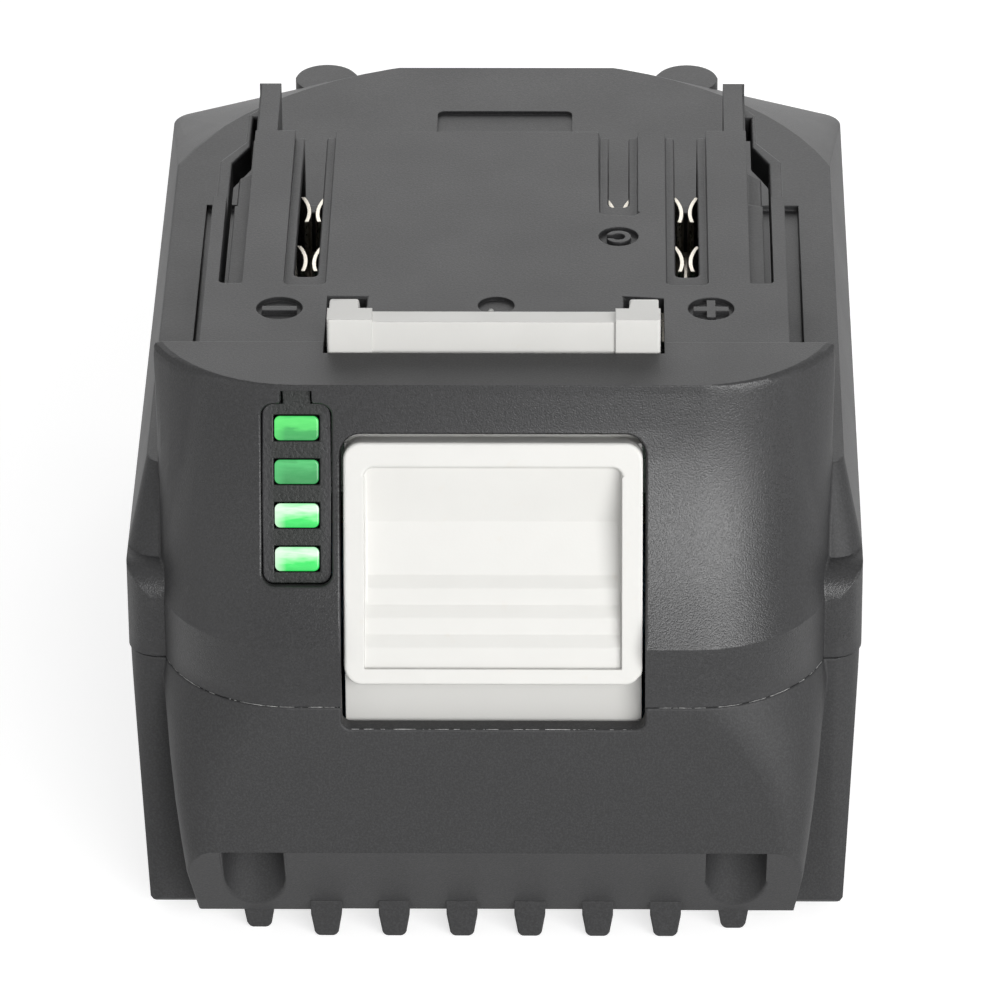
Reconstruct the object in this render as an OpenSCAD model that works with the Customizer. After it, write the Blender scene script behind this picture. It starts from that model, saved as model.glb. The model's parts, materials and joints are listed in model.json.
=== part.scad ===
// Slide-on battery pack for cordless tools: two shells, a sprung release latch,
// a press-to-check charge gauge, ten cells with their straps, and the terminal board.
// Millimetres, +Z up, +X to the right seen from the nose, the nose faces -Y.
// The origin is the middle of the outline on the plane of the bottom ribs.

/* [Case] */
// Wall thickness of both shells
wall = 2; // [1.7:0.1:2.2]
// Room between the cell ends and the side walls
side_room = 3.3; // [2.6:0.1:4]
// Room between the last cells and the back face, for the back screws
back_room = 7.7; // [7.6:0.1:10]
// Height of the seam between the shells, as a share of the deck height
parting_share = 0.64; // [0.6:0.01:0.66]
// Height of the straight side above the seam
shoulder_h = 10; // [9:0.5:10.5]
// Height of the platform above the deck
deck_drop = 13.6; // [13:0.1:14.2]
// Inward lean of the lower sides, per side
side_draft = 1.3; // [0.6:0.1:1.4]
// Height of the bottom ribs
rib_h = 2.6; // [2.2:0.1:3.2]
// Spacing of the bottom ribs
rib_pitch = 7.1; // [6:0.1:7.4]

/* [Nose] */
// Distance of the shoulders behind the nose face
nose_l = 9.9; // [9.6:0.1:10.6]
// Step from the nose to the side walls, per side
nose_step = 3.3; // [2.4:0.1:3.6]
// Corner radius of the nose at the seam
nose_r = 14; // [12:0.5:15]
// Height of the upright part of the nose above the seam
crease_h = 7; // [6:0.5:8]
// Set-back of the top edge of the scooped face
scoop_set = 10.3; // [9.8:0.1:10.6]
// Hollowness of the scooped face
scoop_sag = 2; // [1.6:0.1:2.2]
// Height of the sloped lower front strip
chamfer_h = 11.8; // [10:0.1:12.4]
// Depth of the sloped lower front strip
chamfer_d = 7.4; // [6.8:0.1:7.8]

/* [Rails] */
// Distance of the lips from the side walls, per side
lip_step = 7.7; // [6.8:0.1:7.8]
// Thickness of the rail lips
lip_t = 6; // [5:0.2:6.6]
// Depth of the grooves under the lips
groove_d = 3.85; // [3.6:0.05:4]
// Length of the lips behind the nose top
lip_l = 32.7; // [31:0.1:34]
// Length of the terminal platform behind the nose top
platform_l = 47.5; // [47:0.1:49]
// Length of the rail heads behind the nose top
rail_l = 58.6; // [57:0.2:60]

/* [Terminals] */
// Distance of the power slots from the neck sides
blade_step = 6.5; // [6.3:0.1:6.8]
// Distance of the signal slot from the right power slot
signal_step = 7.15; // [6.9:0.05:7.4]
// Width of the blade slots
blade_w = 2.4; // [2:0.1:2.8]
// Thickness of the contact metal
contact_t = 0.5; // [0.4:0.05:0.6]

/* [Latch] */
// Distance of the push frame from the sides of the nose
latch_step = 19.4; // [19.3:0.1:20]
// Travel of the latch from rest to released
latch_travel = 5; // [4.8:0.1:5.2]
// Height of the hook above the platform
hook_h = 4.1; // [3.8:0.1:4.3]
// Overhang of the hook bar past the frame, per side
hook_more = 1.8; // [1.6:0.1:2.2]
// Width of the frame rim around the thumb recess
rim_w = 2.1; // [1.8:0.1:2.4]
// Clearance around moving pieces
gap = 0.3; // [0.25:0.05:0.35]

/* [Gauge] */
// Distance of the gauge middle from the latch side
gauge_step = 4.75; // [4.7:0.05:5]
// Spacing of the light bars
bar_pitch = 4.5; // [4.3:0.1:4.6]
// Press travel of the gauge key
key_travel = 0.6; // [0.4:0.1:0.7]

/* [Cells] */
// Cell diameter over its sleeve
cell_d = 18.2; // [18:0.1:18.3]
// Cell length
cell_l = 65.2; // [65:0.1:65.6]
// Web between neighbouring cell bores
cell_web = 0.4; // [0.35:0.05:0.45]

/* [Hidden] */
$fn = 48;
// Overshoot of cutting solids
cut = 0.5;
// Cells: five columns across the pack, two rows; the case is sized round them
end_room = 0.4;
cell_pitch = cell_d + 0.1 + cell_web;
cell_end = cell_l / 2;
case_w = cell_l + 2 * (side_room + wall);
case_l = nose_l + wall + end_room + 4 * cell_pitch + cell_d + back_room;
nose_w = case_w - 2 * nose_step;
lip_w = case_w - 2 * lip_step;
neck_w = lip_w - 2 * groove_d;
blade_span = neck_w - 2 * blade_step;
signal_x = blade_span / 2 - signal_step;
latch_w = nose_w - 2 * latch_step;
hook_w = latch_w + 2 * hook_more;
gauge_x = latch_w / 2 + gauge_step;
y_front = -case_l / 2;
y_back = case_l / 2;
y_sh = y_front + nose_l;
floor_z = rib_h;
in_floor = floor_z + wall;
pad_t = 0.6;
holder_skin = 0.8;
cell_z1 = in_floor + pad_t + holder_skin + cell_d / 2;
holder_top = cell_z1 + cell_pitch + cell_d / 2 + holder_skin;
board_t = 1.6;
board_z = holder_top + 1.5;
board_top = board_z + board_t;
// Room for flat parts between the board and the deck
board_room = 1.2;
deck_z = board_top + board_room + wall;
platform_z = deck_z + deck_drop;
parting_z = deck_z * parting_share;
side_z = parting_z + shoulder_h;
crease_z = parting_z + crease_h;
// The nose top stands a little above the platform
nose_top = platform_z + 0.4;
nose_back = y_front + scoop_set + 9.1;
// Plan of the lower shell: slightly inside the upper one
low_hw = case_w / 2 - 0.2;
corner_r = 3;
// The floor behind the nose lies a little lower than under it
base_drop = 0.9;
// Lower nose: narrower towards the floor, and squarer below the seam
low_nose_hw = nose_w / 2 - 3.4;
low_nose_r = 3.6;
// Widening of the nose towards its top, and the round of its top side edges
top_flare = 0.6;
top_r_more = 1.5;
top_edge_r = 1.2;
// Shadow line along the bottom edge of the upper shell
seam_line = 0.15;
// Round front edge of the shoulders beside the nose; the slope to the deck starts behind it
shoulder_r = 3.5;
step_y = y_sh + shoulder_r;
// Deck: small round corners at the front, one large arc at the back with its crown cut straight
deck_hw = case_w / 2 - 1.9;
deck_corner = 2;
deck_r = deck_hw + 2;
deck_back = y_back - 4.5;
deck_crown = 2;
deck_y = deck_back - deck_r + deck_crown;
// Depth of the flat pocket in the deck
pocket_d = 0.4;
// Case screws: nose pair and back pair
front_screw = [nose_w / 2 - 9.6, y_front + 3.8];
back_screw = [case_w / 2 - 17.5, y_back - 3.7];
well_d = 5.6;
// Open scallop under the nose wells, cut by the sloped strip
scallop_d = 6.3;
scallop_y = front_screw[1] + (well_d - scallop_d) / 2;
well_top = parting_z - 10;
tower_top = parting_z - 0.2;
screw_d = 2.9;
screw_head_d = 5.2;
screw_head_h = 2.4;
screw_l = 16;
boss_d = 6.6;
front_boss_top = crease_z - 1;
bump_d = 7;
bump_z = deck_z - 1.7;
cell_y1 = y_sh + wall + end_room + cell_d / 2;
holder_t = 10;
strip_t = 0.2;
// Boards
sheet_t = 0.3;
board_hw = cell_end - 0.15;
board_y0 = cell_y1 - 3;
board_y1 = cell_y1 + 4 * cell_pitch - 7;
block_h = 3.2;
block_top = board_top + block_h;
// Contacts
finger_top = platform_z - 4.6;
finger_r = 8;
leaf_l = 5.6;
base_t = 0.8;
// Contact places along the pack, from the middle of the block
leg_places = [-10, 3];
block_ends = [-16.4, 5.6];
power_base = [-15.6, 4.4];
power_pairs = [-13.2, -2.2];
power_hw = 2.6;
signal_base = [-11.4, 4.4];
signal_pairs = [-2.8];
signal_hw = 1.8;
// Flat packages on the board
power_y = board_y1 - 12.3;
chip_size = [7, 7, 1];
transistor_size = [6, 5, 0.9];
fuse_size = [6, 2.6, 0.9];
resistor_size = [6.4, 3.2, 0.6];
slot_front = nose_back + 12.8;
signal_front = nose_back + 28.3;
recess_more = 1;
recess_d = 0.8;
platform_back = nose_back + platform_l;
threshold_z = platform_z - 9;
guide_y = nose_back + rail_l - 12.4;
// Sunk marks on the platform
mark_step = 2.4;
mark_d = 4.8;
mark_depth = 0.5;
// Latch
window_w = latch_w + 2 * gap;
frame_bot = parting_z + 2.7;
frame_top = platform_z - 5.2;
notch_z = frame_bot - latch_travel - gap;
window_top = frame_top + gap;
frame_t = 3.4;
frame_r = 1.8;
frame_proud = 1;
frame_top_y = y_front + scoop(frame_top) - frame_proud;
latch_lean = atan2(frame_top_y - y_front, frame_top - frame_bot);
frame_len = (frame_top - frame_bot) / cos(latch_lean);
hook_y0 = nose_back - 2.1;
hook_y1 = hook_y0 + 2.5;
ear_x0 = hook_w / 2 - 3.2;
ear_end = nose_back + 9.4;
// Thumb recess: grip steps at the bottom, deepest at a crease below its top
thumb_low = 1.7;
thumb_d0 = 0.6;
thumb_d = 2.4;
thumb_crease = 16.6;
grip_z = 3.8;
grip_pitch = 3;
grip_rise = 1.3;
grip_step = 0.45;
plate_y = y_front + wall + gap;
plate_t = 2;
foot_z = parting_z - 9.5;
foot_t = 2;
foot_hw = latch_w / 2 - 2.5;
spring_x = latch_w * 0.3;
spring_y = y_front + 9;
spring_r = 2.4;
spring_peg_d = 3;
seat_d = 6.8;
spring_wire = 0.8;
spring_turns = 5;
seat_z = floor_z + 8.4;
// Gauge: a flat key leaning like the face it sits in
gauge_z = platform_z - 10.5;
gauge_h = 18.4;
gauge_half = gauge_h / 2;
gauge_rise = gauge_half * 0.94;
gauge_run = scoop(gauge_z + gauge_rise) - scoop(gauge_z - gauge_rise);
gauge_lean = atan2(gauge_run, 2 * gauge_rise);
gauge_y = y_front + (scoop(gauge_z + gauge_rise) + scoop(gauge_z - gauge_rise)) / 2;
key_w = 6.8;
key_gap = 0.2;
key_face = 1.2;
key_t = 2.4;
key_flange_t = 0.9;
bar_w = 4.6;
bar_h = 2.6;
gauge_board_face = 7.3;
gauge_board_t = 1;
gauge_board_x = [-7.1, 2.3];
gauge_post_d = 2.4;
gauge_post_step = 6;
led_size = [2, 0.8, 1.2];
switch_size = [3.5, 1.4, 3];
switch_step = 2.2;
switch_x = -1.2;

// Set-back of the scooped face at a height
function scoop(z) =
  let (t = max(0, min(1, (z - crease_z) / (nose_top - crease_z))))
  scoop_set * t + 4 * scoop_sag * t * (1 - t);

// Start angle of a front corner that is cut by the back plane
function back_angle(yc, r, yb) = yc > yb ? asin((yc - yb) / r) : 0;

// Closed plan of a nose with round front corners about (xc, yc), at one height
function nose_loop(z, xc, yc, r, yb, n = 9) =
  let (a0 = back_angle(yc, r, yb))
  concat(
    [[-xc - r * cos(a0), yb, z]],
    [for (k = [1:n]) let (a = a0 + (90 - a0) * k / n) [-xc - r * cos(a), yc - r * sin(a), z]],
    [for (k = [n:-1:1]) let (a = a0 + (90 - a0) * k / n) [xc + r * cos(a), yc - r * sin(a), z]],
    [[xc + r * cos(a0), yb, z]]
  );

// Share of the nose height above the crease
function top_share(z) = max(0, min(1, (z - crease_z) / (nose_top - crease_z)));

// Inset of the round side edges at the nose top
function top_edge(z) =
  let (u = max(0, z - nose_top + top_edge_r)) top_edge_r - sqrt(max(0, top_edge_r * top_edge_r - u * u));

// Plan of the upper nose at a height, moved in by an inset; it has its full width at the back
function upper_loop(z, inset, yb) =
  let (
    t = top_share(z), r = nose_r + top_r_more * t, yc = y_front + scoop(z) + r,
    xc = nose_w / 2 + top_flare * t - top_edge(z) - r * cos(back_angle(yc, r, nose_back)))
  nose_loop(z, xc, yc, r - inset, yb);

// Share of the way from the seam down to the sloped strip
function low_share(z) = max(0, min(1, (parting_z - z) / (parting_z - floor_z - chamfer_h)));

// Plan of the lower nose at a height, moved in by an inset
function lower_loop(z, inset, yb) =
  let (
    t = (parting_z - z) / (parting_z - floor_z), u = 1 - low_share(z),
    r = low_nose_r + (nose_r - low_nose_r) * u * u)
  nose_loop(z, nose_w / 2 + (low_nose_hw - nose_w / 2) * t - r, y_front + r, r - inset, yb);

// Solid through a stack of closed loops with equal point counts
module loft(loops) {
  m = len(loops[0]);
  n = len(loops);
  points = [for (loop = loops) each loop];
  sides = [for (j = [0:n - 2], i = [0:m - 1]) each [
    [j * m + i, (j + 1) * m + i, (j + 1) * m + (i + 1) % m],
    [j * m + i, (j + 1) * m + (i + 1) % m, j * m + (i + 1) % m]]];
  bottom = [[for (i = [0:m - 1]) i]];
  top = [[for (i = [m - 1:-1:0]) (n - 1) * m + i]];
  polyhedron(points, concat(bottom, sides, top));
}

// Rectangle with round corners, between two corner points
module round_rect(x0, y0, x1, y1, r) {
  translate([x0 + r, y0]) square([x1 - x0 - 2 * r, y1 - y0]);
  translate([x0, y0 + r]) square([x1 - x0, y1 - y0 - 2 * r]);
  for (x = [x0 + r, x1 - r], y = [y0 + r, y1 - r]) translate([x, y]) circle(r);
}

// Box between two corner points
module box(a, b) {
  translate(a) cube(b - a);
}

// Side outline in Y and Z, drawn out to both sides of X = 0
module along_x(width) {
  rotate([90, 0, 90]) linear_extrude(width, center = true) children();
}

// Front outline in X and Z, drawn from y0 to y1
module along_y(y0, y1) {
  translate([0, y1, 0]) rotate([90, 0, 0]) linear_extrude(y1 - y0) children();
}

// Upright prism between two heights
module upright(z0, z1) {
  translate([0, 0, z0]) linear_extrude(z1 - z0) children();
}

// Copy on both sides
module both_sides() {
  children();
  mirror([1, 0, 0]) children();
}

// The four case screw axes: the first child at the nose, the second at the back
module at_screws() {
  for (s = [-1, 1]) translate([s * front_screw[0], front_screw[1], 0]) children(0);
  for (s = [-1, 1]) translate([s * back_screw[0], back_screw[1], 0]) children(1);
}

// Frame of a leaning face: local Z runs up the face, local Y goes inward
module on_face(y, z, lean) {
  translate([0, y, z]) rotate([-lean, 0, 0]) children();
}

// Rounded plate on a leaning face, from one depth to another
module face_plate(x0, z0, x1, z1, r, d0, d1) {
  along_y(d0, d1) round_rect(x0, z0, x1, z1, r);
}

// Outer form of the lower shell without its ribs
module lower_body(inset) {
  edge = 0.6;
  hw = low_hw - inset;
  foot = hw - side_draft;
  z0 = inset > 0 ? in_floor : floor_z - base_drop;
  z1 = inset > 0 ? parting_z + cut : parting_z;
  ya = y_sh + inset;
  yb = y_back - inset;
  intersection() {
    along_y(ya, yb)
      polygon([
        [-foot + edge, z0], [foot - edge, z0], [foot, z0 + edge], [hw, z1], [-hw, z1], [-foot, z0 + edge]]);
    along_x(case_w)
      polygon([[ya, z0 + edge], [ya + edge, z0], [yb - edge, z0], [yb, z0 + edge], [yb, z1], [ya, z1]]);
    upright(z0, z1) round_rect(-hw, ya, hw, yb, corner_r - inset / 2);
  }
}

// Lower nose with the sloped strip under its face
module lower_nose(inset) {
  yb = y_sh + 2 * wall + inset;
  z0 = floor_z + inset;
  z1 = inset > 0 ? parting_z + cut : parting_z;
  rise = inset * 0.55;
  low = floor_z + chamfer_h;
  heights = [for (k = [0:4]) low + (parting_z - low) * k / 4];
  intersection() {
    loft([for (z = concat([z0], heights, [z1 + cut])) lower_loop(z, inset, yb)]);
    along_x(case_w) polygon([
      [y_front - cut, z1], [y_front - cut, floor_z + chamfer_h + rise],
      [y_front + inset, floor_z + chamfer_h + rise],
      [y_front + inset * 1.6 + chamfer_d, z0], [yb + cut, z0], [yb + cut, z1]]);
  }
}

// Rib profile with a round tip, wider at its root
module rib_outline() {
  tip = 1.3;
  root = 1.62;
  r = 0.7;
  top = rib_h + wall * 0.9;
  for (s = [-1, 1]) translate([s * (tip - r), r]) circle(r);
  translate([r - tip, 0]) square([2 * (tip - r), r]);
  polygon([[-tip, r], [tip, r], [root, rib_h], [root, top], [-root, top], [-root, rib_h]]);
}

module bottom_ribs() {
  inner_y = y_front + 6.2;
  outer_y = y_front + 7.8;
  for (i = [0:3])
    both_sides()
      translate([rib_pitch * (i + 0.5), 0, 0])
        along_y(i == 3 ? outer_y : inner_y, y_back - 6) rib_outline();
}

// Ribs inside the lower shell that keep the cell block from shifting sideways
module locating_ribs() {
  reach = cell_end + strip_t + gap;
  half = wall / 2;
  for (i = [0.5, 2, 3.5])
    both_sides()
      translate([0, cell_y1 + cell_pitch * i, 0])
        box([reach, -half, floor_z + half], [low_hw - half, half, parting_z - wall]);
}

module lower_case() {
  color([0.13, 0.13, 0.14]) difference() {
    union() {
      lower_body(0);
      lower_nose(0);
      bottom_ribs();
    }
    difference() {
      union() {
        lower_body(wall);
        lower_nose(wall);
      }
      at_screws() {
        cylinder(d = scallop_d + 2.8, h = tower_top);
        cylinder(d = well_d + 1.6, h = tower_top);
      }
      locating_ribs();
      both_sides() translate([spring_x, spring_y, 0]) cylinder(d = seat_d, h = seat_z);
      both_sides() translate([spring_x, spring_y, 0]) cylinder(d = spring_peg_d, h = seat_z + 2);
    }
    at_screws() {
      translate([0, 0, -cut]) cylinder(d = well_d, h = well_top + cut);
      translate([0, 0, -cut]) cylinder(d = well_d, h = well_top + cut);
    }
    both_sides() translate([front_screw[0], scallop_y, 0]) union() {
      translate([0, 0, -cut]) cylinder(d = scallop_d, h = floor_z + chamfer_h + cut);
      box([-scallop_d / 2, -nose_l, -cut], [scallop_d / 2, 0, floor_z + chamfer_h]);
    }
    at_screws() {
      cylinder(d = screw_d + 0.5, h = parting_z);
      cylinder(d = screw_d + 0.5, h = parting_z);
    }
    along_y(y_front - cut, y_front + wall + cut)
      round_rect(-window_w / 2, notch_z, window_w / 2, parting_z + 3, 1);
  }
}

// Plan of the deck
module deck_plan(inset) {
  front = nose_back - 0.5 + inset;
  intersection() {
    union() {
      translate([0, deck_y]) circle(deck_r - inset, $fn = 72);
      translate([-deck_hw, front]) square([2 * deck_hw, deck_y - front]);
    }
    round_rect(-deck_hw + inset, front, deck_hw - inset, deck_back - inset, deck_corner - inset / 4);
  }
}

// Slope from the straight sides up to the deck
module slope(inset) {
  thin = 0.02;
  hull() {
    upright(side_z - thin, side_z) round_rect(
      -case_w / 2 + inset, step_y + inset, case_w / 2 - inset, y_back - inset, corner_r - inset / 2);
    upright(deck_z - inset - thin, deck_z - inset) deck_plan(inset);
  }
}

// Plan of the straight sides
module side_plan(inset) {
  round_rect(
    -case_w / 2 + inset, y_sh + inset, case_w / 2 - inset, y_back - inset, corner_r - inset / 2);
}

// Straight sides above the seam, with low round-edged shoulders beside the nose
module upper_side(inset) {
  z0 = inset > 0 ? parting_z - cut : parting_z;
  line = inset > 0 ? 0 : seam_line;
  ya = y_sh + inset;
  top = side_z - inset;
  r = shoulder_r - inset;
  intersection() {
    union() {
      upright(z0 + line, side_z) side_plan(inset);
      upright(z0, side_z) side_plan(inset + line);
    }
    along_x(case_w) union() {
      translate([ya + r, top - r]) circle(r);
      translate([ya, z0]) square([case_l, top - r - z0]);
      translate([ya + r, z0]) square([case_l, top - z0]);
      translate([step_y + inset, z0]) square([case_l, side_z - z0]);
    }
  }
}

// Room inside the back of the nose for the holders and the board
module nose_room() {
  hw = nose_w / 2 - wall + 0.3;
  box([-hw, nose_back - 5, parting_z], [hw, nose_back + 2, holder_top + 0.8]);
  box([-hw, nose_back - 3, parting_z], [hw, nose_back + 2, deck_z - wall]);
}

// Scooped nose of the upper shell
module upper_nose(inset) {
  steps = 7;
  z0 = inset > 0 ? parting_z - cut : parting_z;
  yb = nose_back - inset;
  top = nose_top - max(inset, top_edge_r);
  edge = inset > 0 ? [] : [for (a = [30, 60, 90]) top + top_edge_r * sin(a)];
  rise = [for (k = [0:steps]) crease_z + (top - crease_z) * k / steps];
  foot = inset > 0 ? [] : [upper_loop(z0, seam_line, yb)];
  heights = concat([inset > 0 ? z0 : z0 + seam_line], rise, edge);
  loft(concat(foot, [for (z = heights) upper_loop(z, inset, yb)]));
}

// Outline of one rail seen from above: lip, guide wall and rail head
module rail_plan() {
  lip_hw = lip_w / 2;
  neck = neck_w / 2;
  polygon([
    [neck - 3, nose_back - 1], [lip_hw, nose_back - 1], [lip_hw, guide_y], [neck + 1.25, guide_y + 4.5],
    [neck + 1.25, nose_back + rail_l - 1.5], [neck, nose_back + rail_l], [neck - 3, nose_back + rail_l - 4]]);
}

// Slit between the guide wall and the neck, through the lip
module rail_slit() {
  neck = neck_w / 2;
  lip_hw = lip_w / 2;
  polygon([
    [neck + 1.6, nose_back + 13.7], [lip_hw - 1.4, nose_back + 13.7], [lip_hw - 1.4, guide_y - 0.6],
    [neck + 0.65, guide_y + 3.3], [neck + 0.65, nose_back + rail_l - 2.2], [neck, nose_back + rail_l - 2.2],
    [neck, guide_y - 2.5], [neck + 1.6, guide_y - 4]]);
}

module rail() {
  neck = neck_w / 2;
  lip_hw = lip_w / 2;
  head_w = 2.35;
  low_lip = platform_z - 3;
  difference() {
    union() {
      upright(platform_z - lip_t, platform_z) rail_plan();
      box([neck - head_w, platform_back - 4, deck_z - 1], [neck, nose_back + rail_l, platform_z]);
    }
    upright(platform_z - lip_t - cut, platform_z + cut) rail_slit();
    box([neck, nose_back + lip_l, low_lip], [lip_hw + cut, nose_back + rail_l + cut, platform_z + cut]);
    box([neck - 6, platform_back, platform_z - lip_t - cut],
      [neck - head_w, nose_back + rail_l + cut, platform_z + cut]);
    upright(platform_z - 1.2, platform_z + cut)
      round_rect(neck - 0.25, nose_back + 13.2, lip_hw - 1.4, nose_back + rail_l, 0.6);
  }
}

// Blade slot: shallow outer recess and a through slot, both open at the back
module blade_slot(x, front, width) {
  hw = width / 2;
  back = platform_back + cut;
  upright(platform_z - recess_d, platform_z + cut)
    translate([x, 0]) round_rect(-hw - recess_more, front, hw + recess_more, back + 2, 0.8);
  upright(platform_z - wall - cut, platform_z + cut)
    translate([x, 0]) round_rect(-hw, front + 3.4, hw, back + 2, 0.6);
  box([x - hw, platform_back - wall - cut, threshold_z], [x + hw, back, platform_z + cut]);
}

// Round sunk mark with a raised sign left standing in it
module sign_mark(x, y, d) {
  translate([x, y, platform_z - mark_depth]) difference() {
    cylinder(d = d, h = mark_depth + cut);
    translate([0, 0, -cut]) linear_extrude(mark_depth + cut) children();
  }
}

// Opening of the gauge key: a battery outline with its nub
module key_outline(grow) {
  nub_w = 2.8;
  nub_h = 1.4;
  hw = key_w / 2 + grow;
  round_rect(-hw, -gauge_half - grow, hw, gauge_half + grow, 1.1 + grow);
  translate([-nub_w / 2 - grow, gauge_half - 1]) square([nub_w + 2 * grow, nub_h + 1 + grow]);
}

module at_gauge() {
  on_face(gauge_y, gauge_z, gauge_lean) translate([-gauge_x, 0, 0]) children();
}

module upper_case() {
  neck = neck_w / 2;
  stroke = [3.6, 0.9];
  catch_hw = 7.5;
  ledge_d = 0.7;
  ear_hole_x = ear_x0 - 0.5;
  color([0.12, 0.12, 0.13]) difference() {
    union() {
      upper_side(0);
      slope(0);
      upper_nose(0);
      box([-neck, nose_back - 1, deck_z - 1], [neck, platform_back, platform_z]);
      both_sides() rail();
      both_sides()
        translate([back_screw[0], back_screw[1], side_z - 1]) cylinder(d = bump_d, h = bump_z - side_z + 1);
    }
    difference() {
      union() {
        upper_side(wall);
        slope(wall);
        upper_nose(wall);
        nose_room();
        box([-neck + wall, nose_back - 2 * wall, deck_z - 2 * wall],
          [neck - wall, platform_back - wall, platform_z - wall]);
      }
      at_screws() {
        cylinder(d = boss_d, h = front_boss_top);
        cylinder(d = boss_d, h = bump_z);
      }
      at_gauge() for (z = [-gauge_post_step, gauge_post_step])
        translate([-gauge_post_step, 1, z]) rotate([-90, 0, 0])
          cylinder(d = gauge_post_d, h = gauge_board_face - 1);
    }
    at_screws() {
      cylinder(d = screw_d + 0.1, h = well_top + screw_l + 1);
      cylinder(d = screw_d + 0.1, h = well_top + screw_l + 1);
    }
    along_y(y_front - cut, y_front + scoop_set + wall)
      round_rect(-window_w / 2, parting_z - 6, window_w / 2, window_top, frame_r + gap);
    box([-hook_w / 2 - 0.4, hook_y0 - gap, nose_top - 3], [hook_w / 2 + 0.4, hook_y1 + gap, nose_top + cut]);
    both_sides()
      box([ear_hole_x, hook_y0, nose_top - 3], [hook_w / 2 + 0.4, ear_end + 0.8, nose_top + cut]);
    at_gauge() along_y(-3, gauge_board_face - 2.8) key_outline(key_gap);
    blade_slot(-blade_span / 2, slot_front, blade_w);
    blade_slot(blade_span / 2, slot_front, blade_w);
    blade_slot(signal_x, signal_front, blade_w - 0.3);
    sign_mark(-blade_span / 2 - mark_step, slot_front - 5, mark_d) square(stroke, center = true);
    sign_mark(blade_span / 2 + mark_step, slot_front - 5, mark_d) union() {
      square(stroke, center = true);
      rotate(90) square(stroke, center = true);
    }
    sign_mark(signal_x, signal_front - 4.8, mark_d - 0.6) difference() {
      circle(d = 2.6);
      circle(d = 1.4);
      translate([-2, -0.4]) square([2, 0.8]);
    }
    translate([0.1, nose_back + 8.4, platform_z - 0.4]) cylinder(d = 3.8, h = 0.4 + cut);
    upright(deck_z - pocket_d, deck_z + cut)
      round_rect(-catch_hw, deck_back - 18.2, catch_hw, deck_back - 10.7, 0.8);
    both_sides() box([neck, nose_back, deck_z - ledge_d], [neck + 6, nose_back + rail_l - 2.6, deck_z + cut]);
  }
}

// Side outline of the thumb recess: three grip steps, a crease and a slope back to the rim
module thumb_side() {
  high = frame_len - rim_w - 0.5;
  polygon(concat(
    [[-cut, thumb_low], [thumb_d0, thumb_low]],
    [for (k = [0:2]) each [
      [thumb_d0 + grip_step * k, grip_z + grip_pitch * k],
      [thumb_d0 + grip_step * (k + 1), grip_z + grip_pitch * k + grip_rise]]],
    [[thumb_d, thumb_crease], [thumb_d0 + grip_step, high], [-cut, high]]));
}

// Push frame with its thumb recess
module latch_frame() {
  hw = latch_w / 2;
  in_hw = hw - rim_w;
  intersection() {
    on_face(y_front, frame_bot, latch_lean) difference() {
      face_plate(-hw, -3, hw, frame_len, frame_r, 0, frame_t);
      intersection() {
        face_plate(-in_hw, 0, in_hw, frame_len - rim_w - 0.5, 1, -frame_t, frame_t);
        along_x(latch_w) thumb_side();
      }
    }
    along_y(y_front - 2 * frame_t, y_front + 5 * frame_t)
      round_rect(-hw, frame_bot, hw, platform_z, frame_r);
  }
}

// Side outline of the latch body from its foot to the hook
module latch_side() {
  lean = tan(latch_lean);
  y_mid = y_front + 2.9;
  y_rear = y_front + frame_t + 0.8;
  bridge = platform_z - 5.2;
  arm = frame_top - 1.4;
  roof = platform_z - wall - gap;
  polygon([
    [plate_y, foot_z], [plate_y, frame_bot + 1], [y_mid + (arm - frame_bot) * lean, arm],
    [nose_back - 7.2, arm], [nose_back - 7.2, roof], [hook_y1, roof],
    [hook_y1, bridge], [nose_back - 5.1, bridge], [nose_back - 6.3, bridge - 2.4],
    [y_rear + 0.3, frame_bot + 0.9], [plate_y + plate_t, frame_bot - 1], [plate_y + plate_t, foot_z]]);
}

module release_latch() {
  hw = hook_w / 2;
  top = platform_z + hook_h;
  root = nose_top - 5;
  block_w = 4.6;
  color([0.93, 0.93, 0.91]) union() {
    latch_frame();
    along_x(latch_w - 0.1) latch_side();
    box([-hw + block_w - 0.2, hook_y0 + 0.25, root], [hw - block_w + 0.2, hook_y1, top - 0.4]);
    both_sides() box([hw - block_w, hook_y0, root], [hw, hook_y1, top]);
    both_sides() translate([(ear_x0 + hw) / 2 - 0.1, 0, 0]) along_x(hw - ear_x0 - 0.2)
      polygon([
        [hook_y1 - cut, root], [ear_end, root], [ear_end, root + 3],
        [hook_y1 + 2, top], [hook_y1 - cut, top]]);
    box([-foot_hw, plate_y, foot_z], [foot_hw, spring_y + 3, foot_z + foot_t]);
    both_sides() translate([spring_x, spring_y, foot_z - 2]) cylinder(d = spring_peg_d, h = 2.5);
  }
}

// Coil as one tube: rings of six sides set along a helix
module coil(x) {
  rise = foot_z - seat_z - spring_wire - 0.1;
  rings = 16;
  w = spring_wire / 2;
  count = rings * spring_turns;
  z0 = seat_z + w + 0.05;
  translate([x, spring_y, z0]) loft([for (k = [0:count])
    let (a = 360 * k / rings, z = rise * k / count)
    [for (s = [0:5]) let (q = 60 * s, r = spring_r + w * sin(q)) [r * cos(a), r * sin(a), z + w * cos(q)]]]);
}

module latch_springs() {
  color([0.7, 0.7, 0.72]) union() {
    coil(-spring_x);
    coil(spring_x);
  }
}

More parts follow.
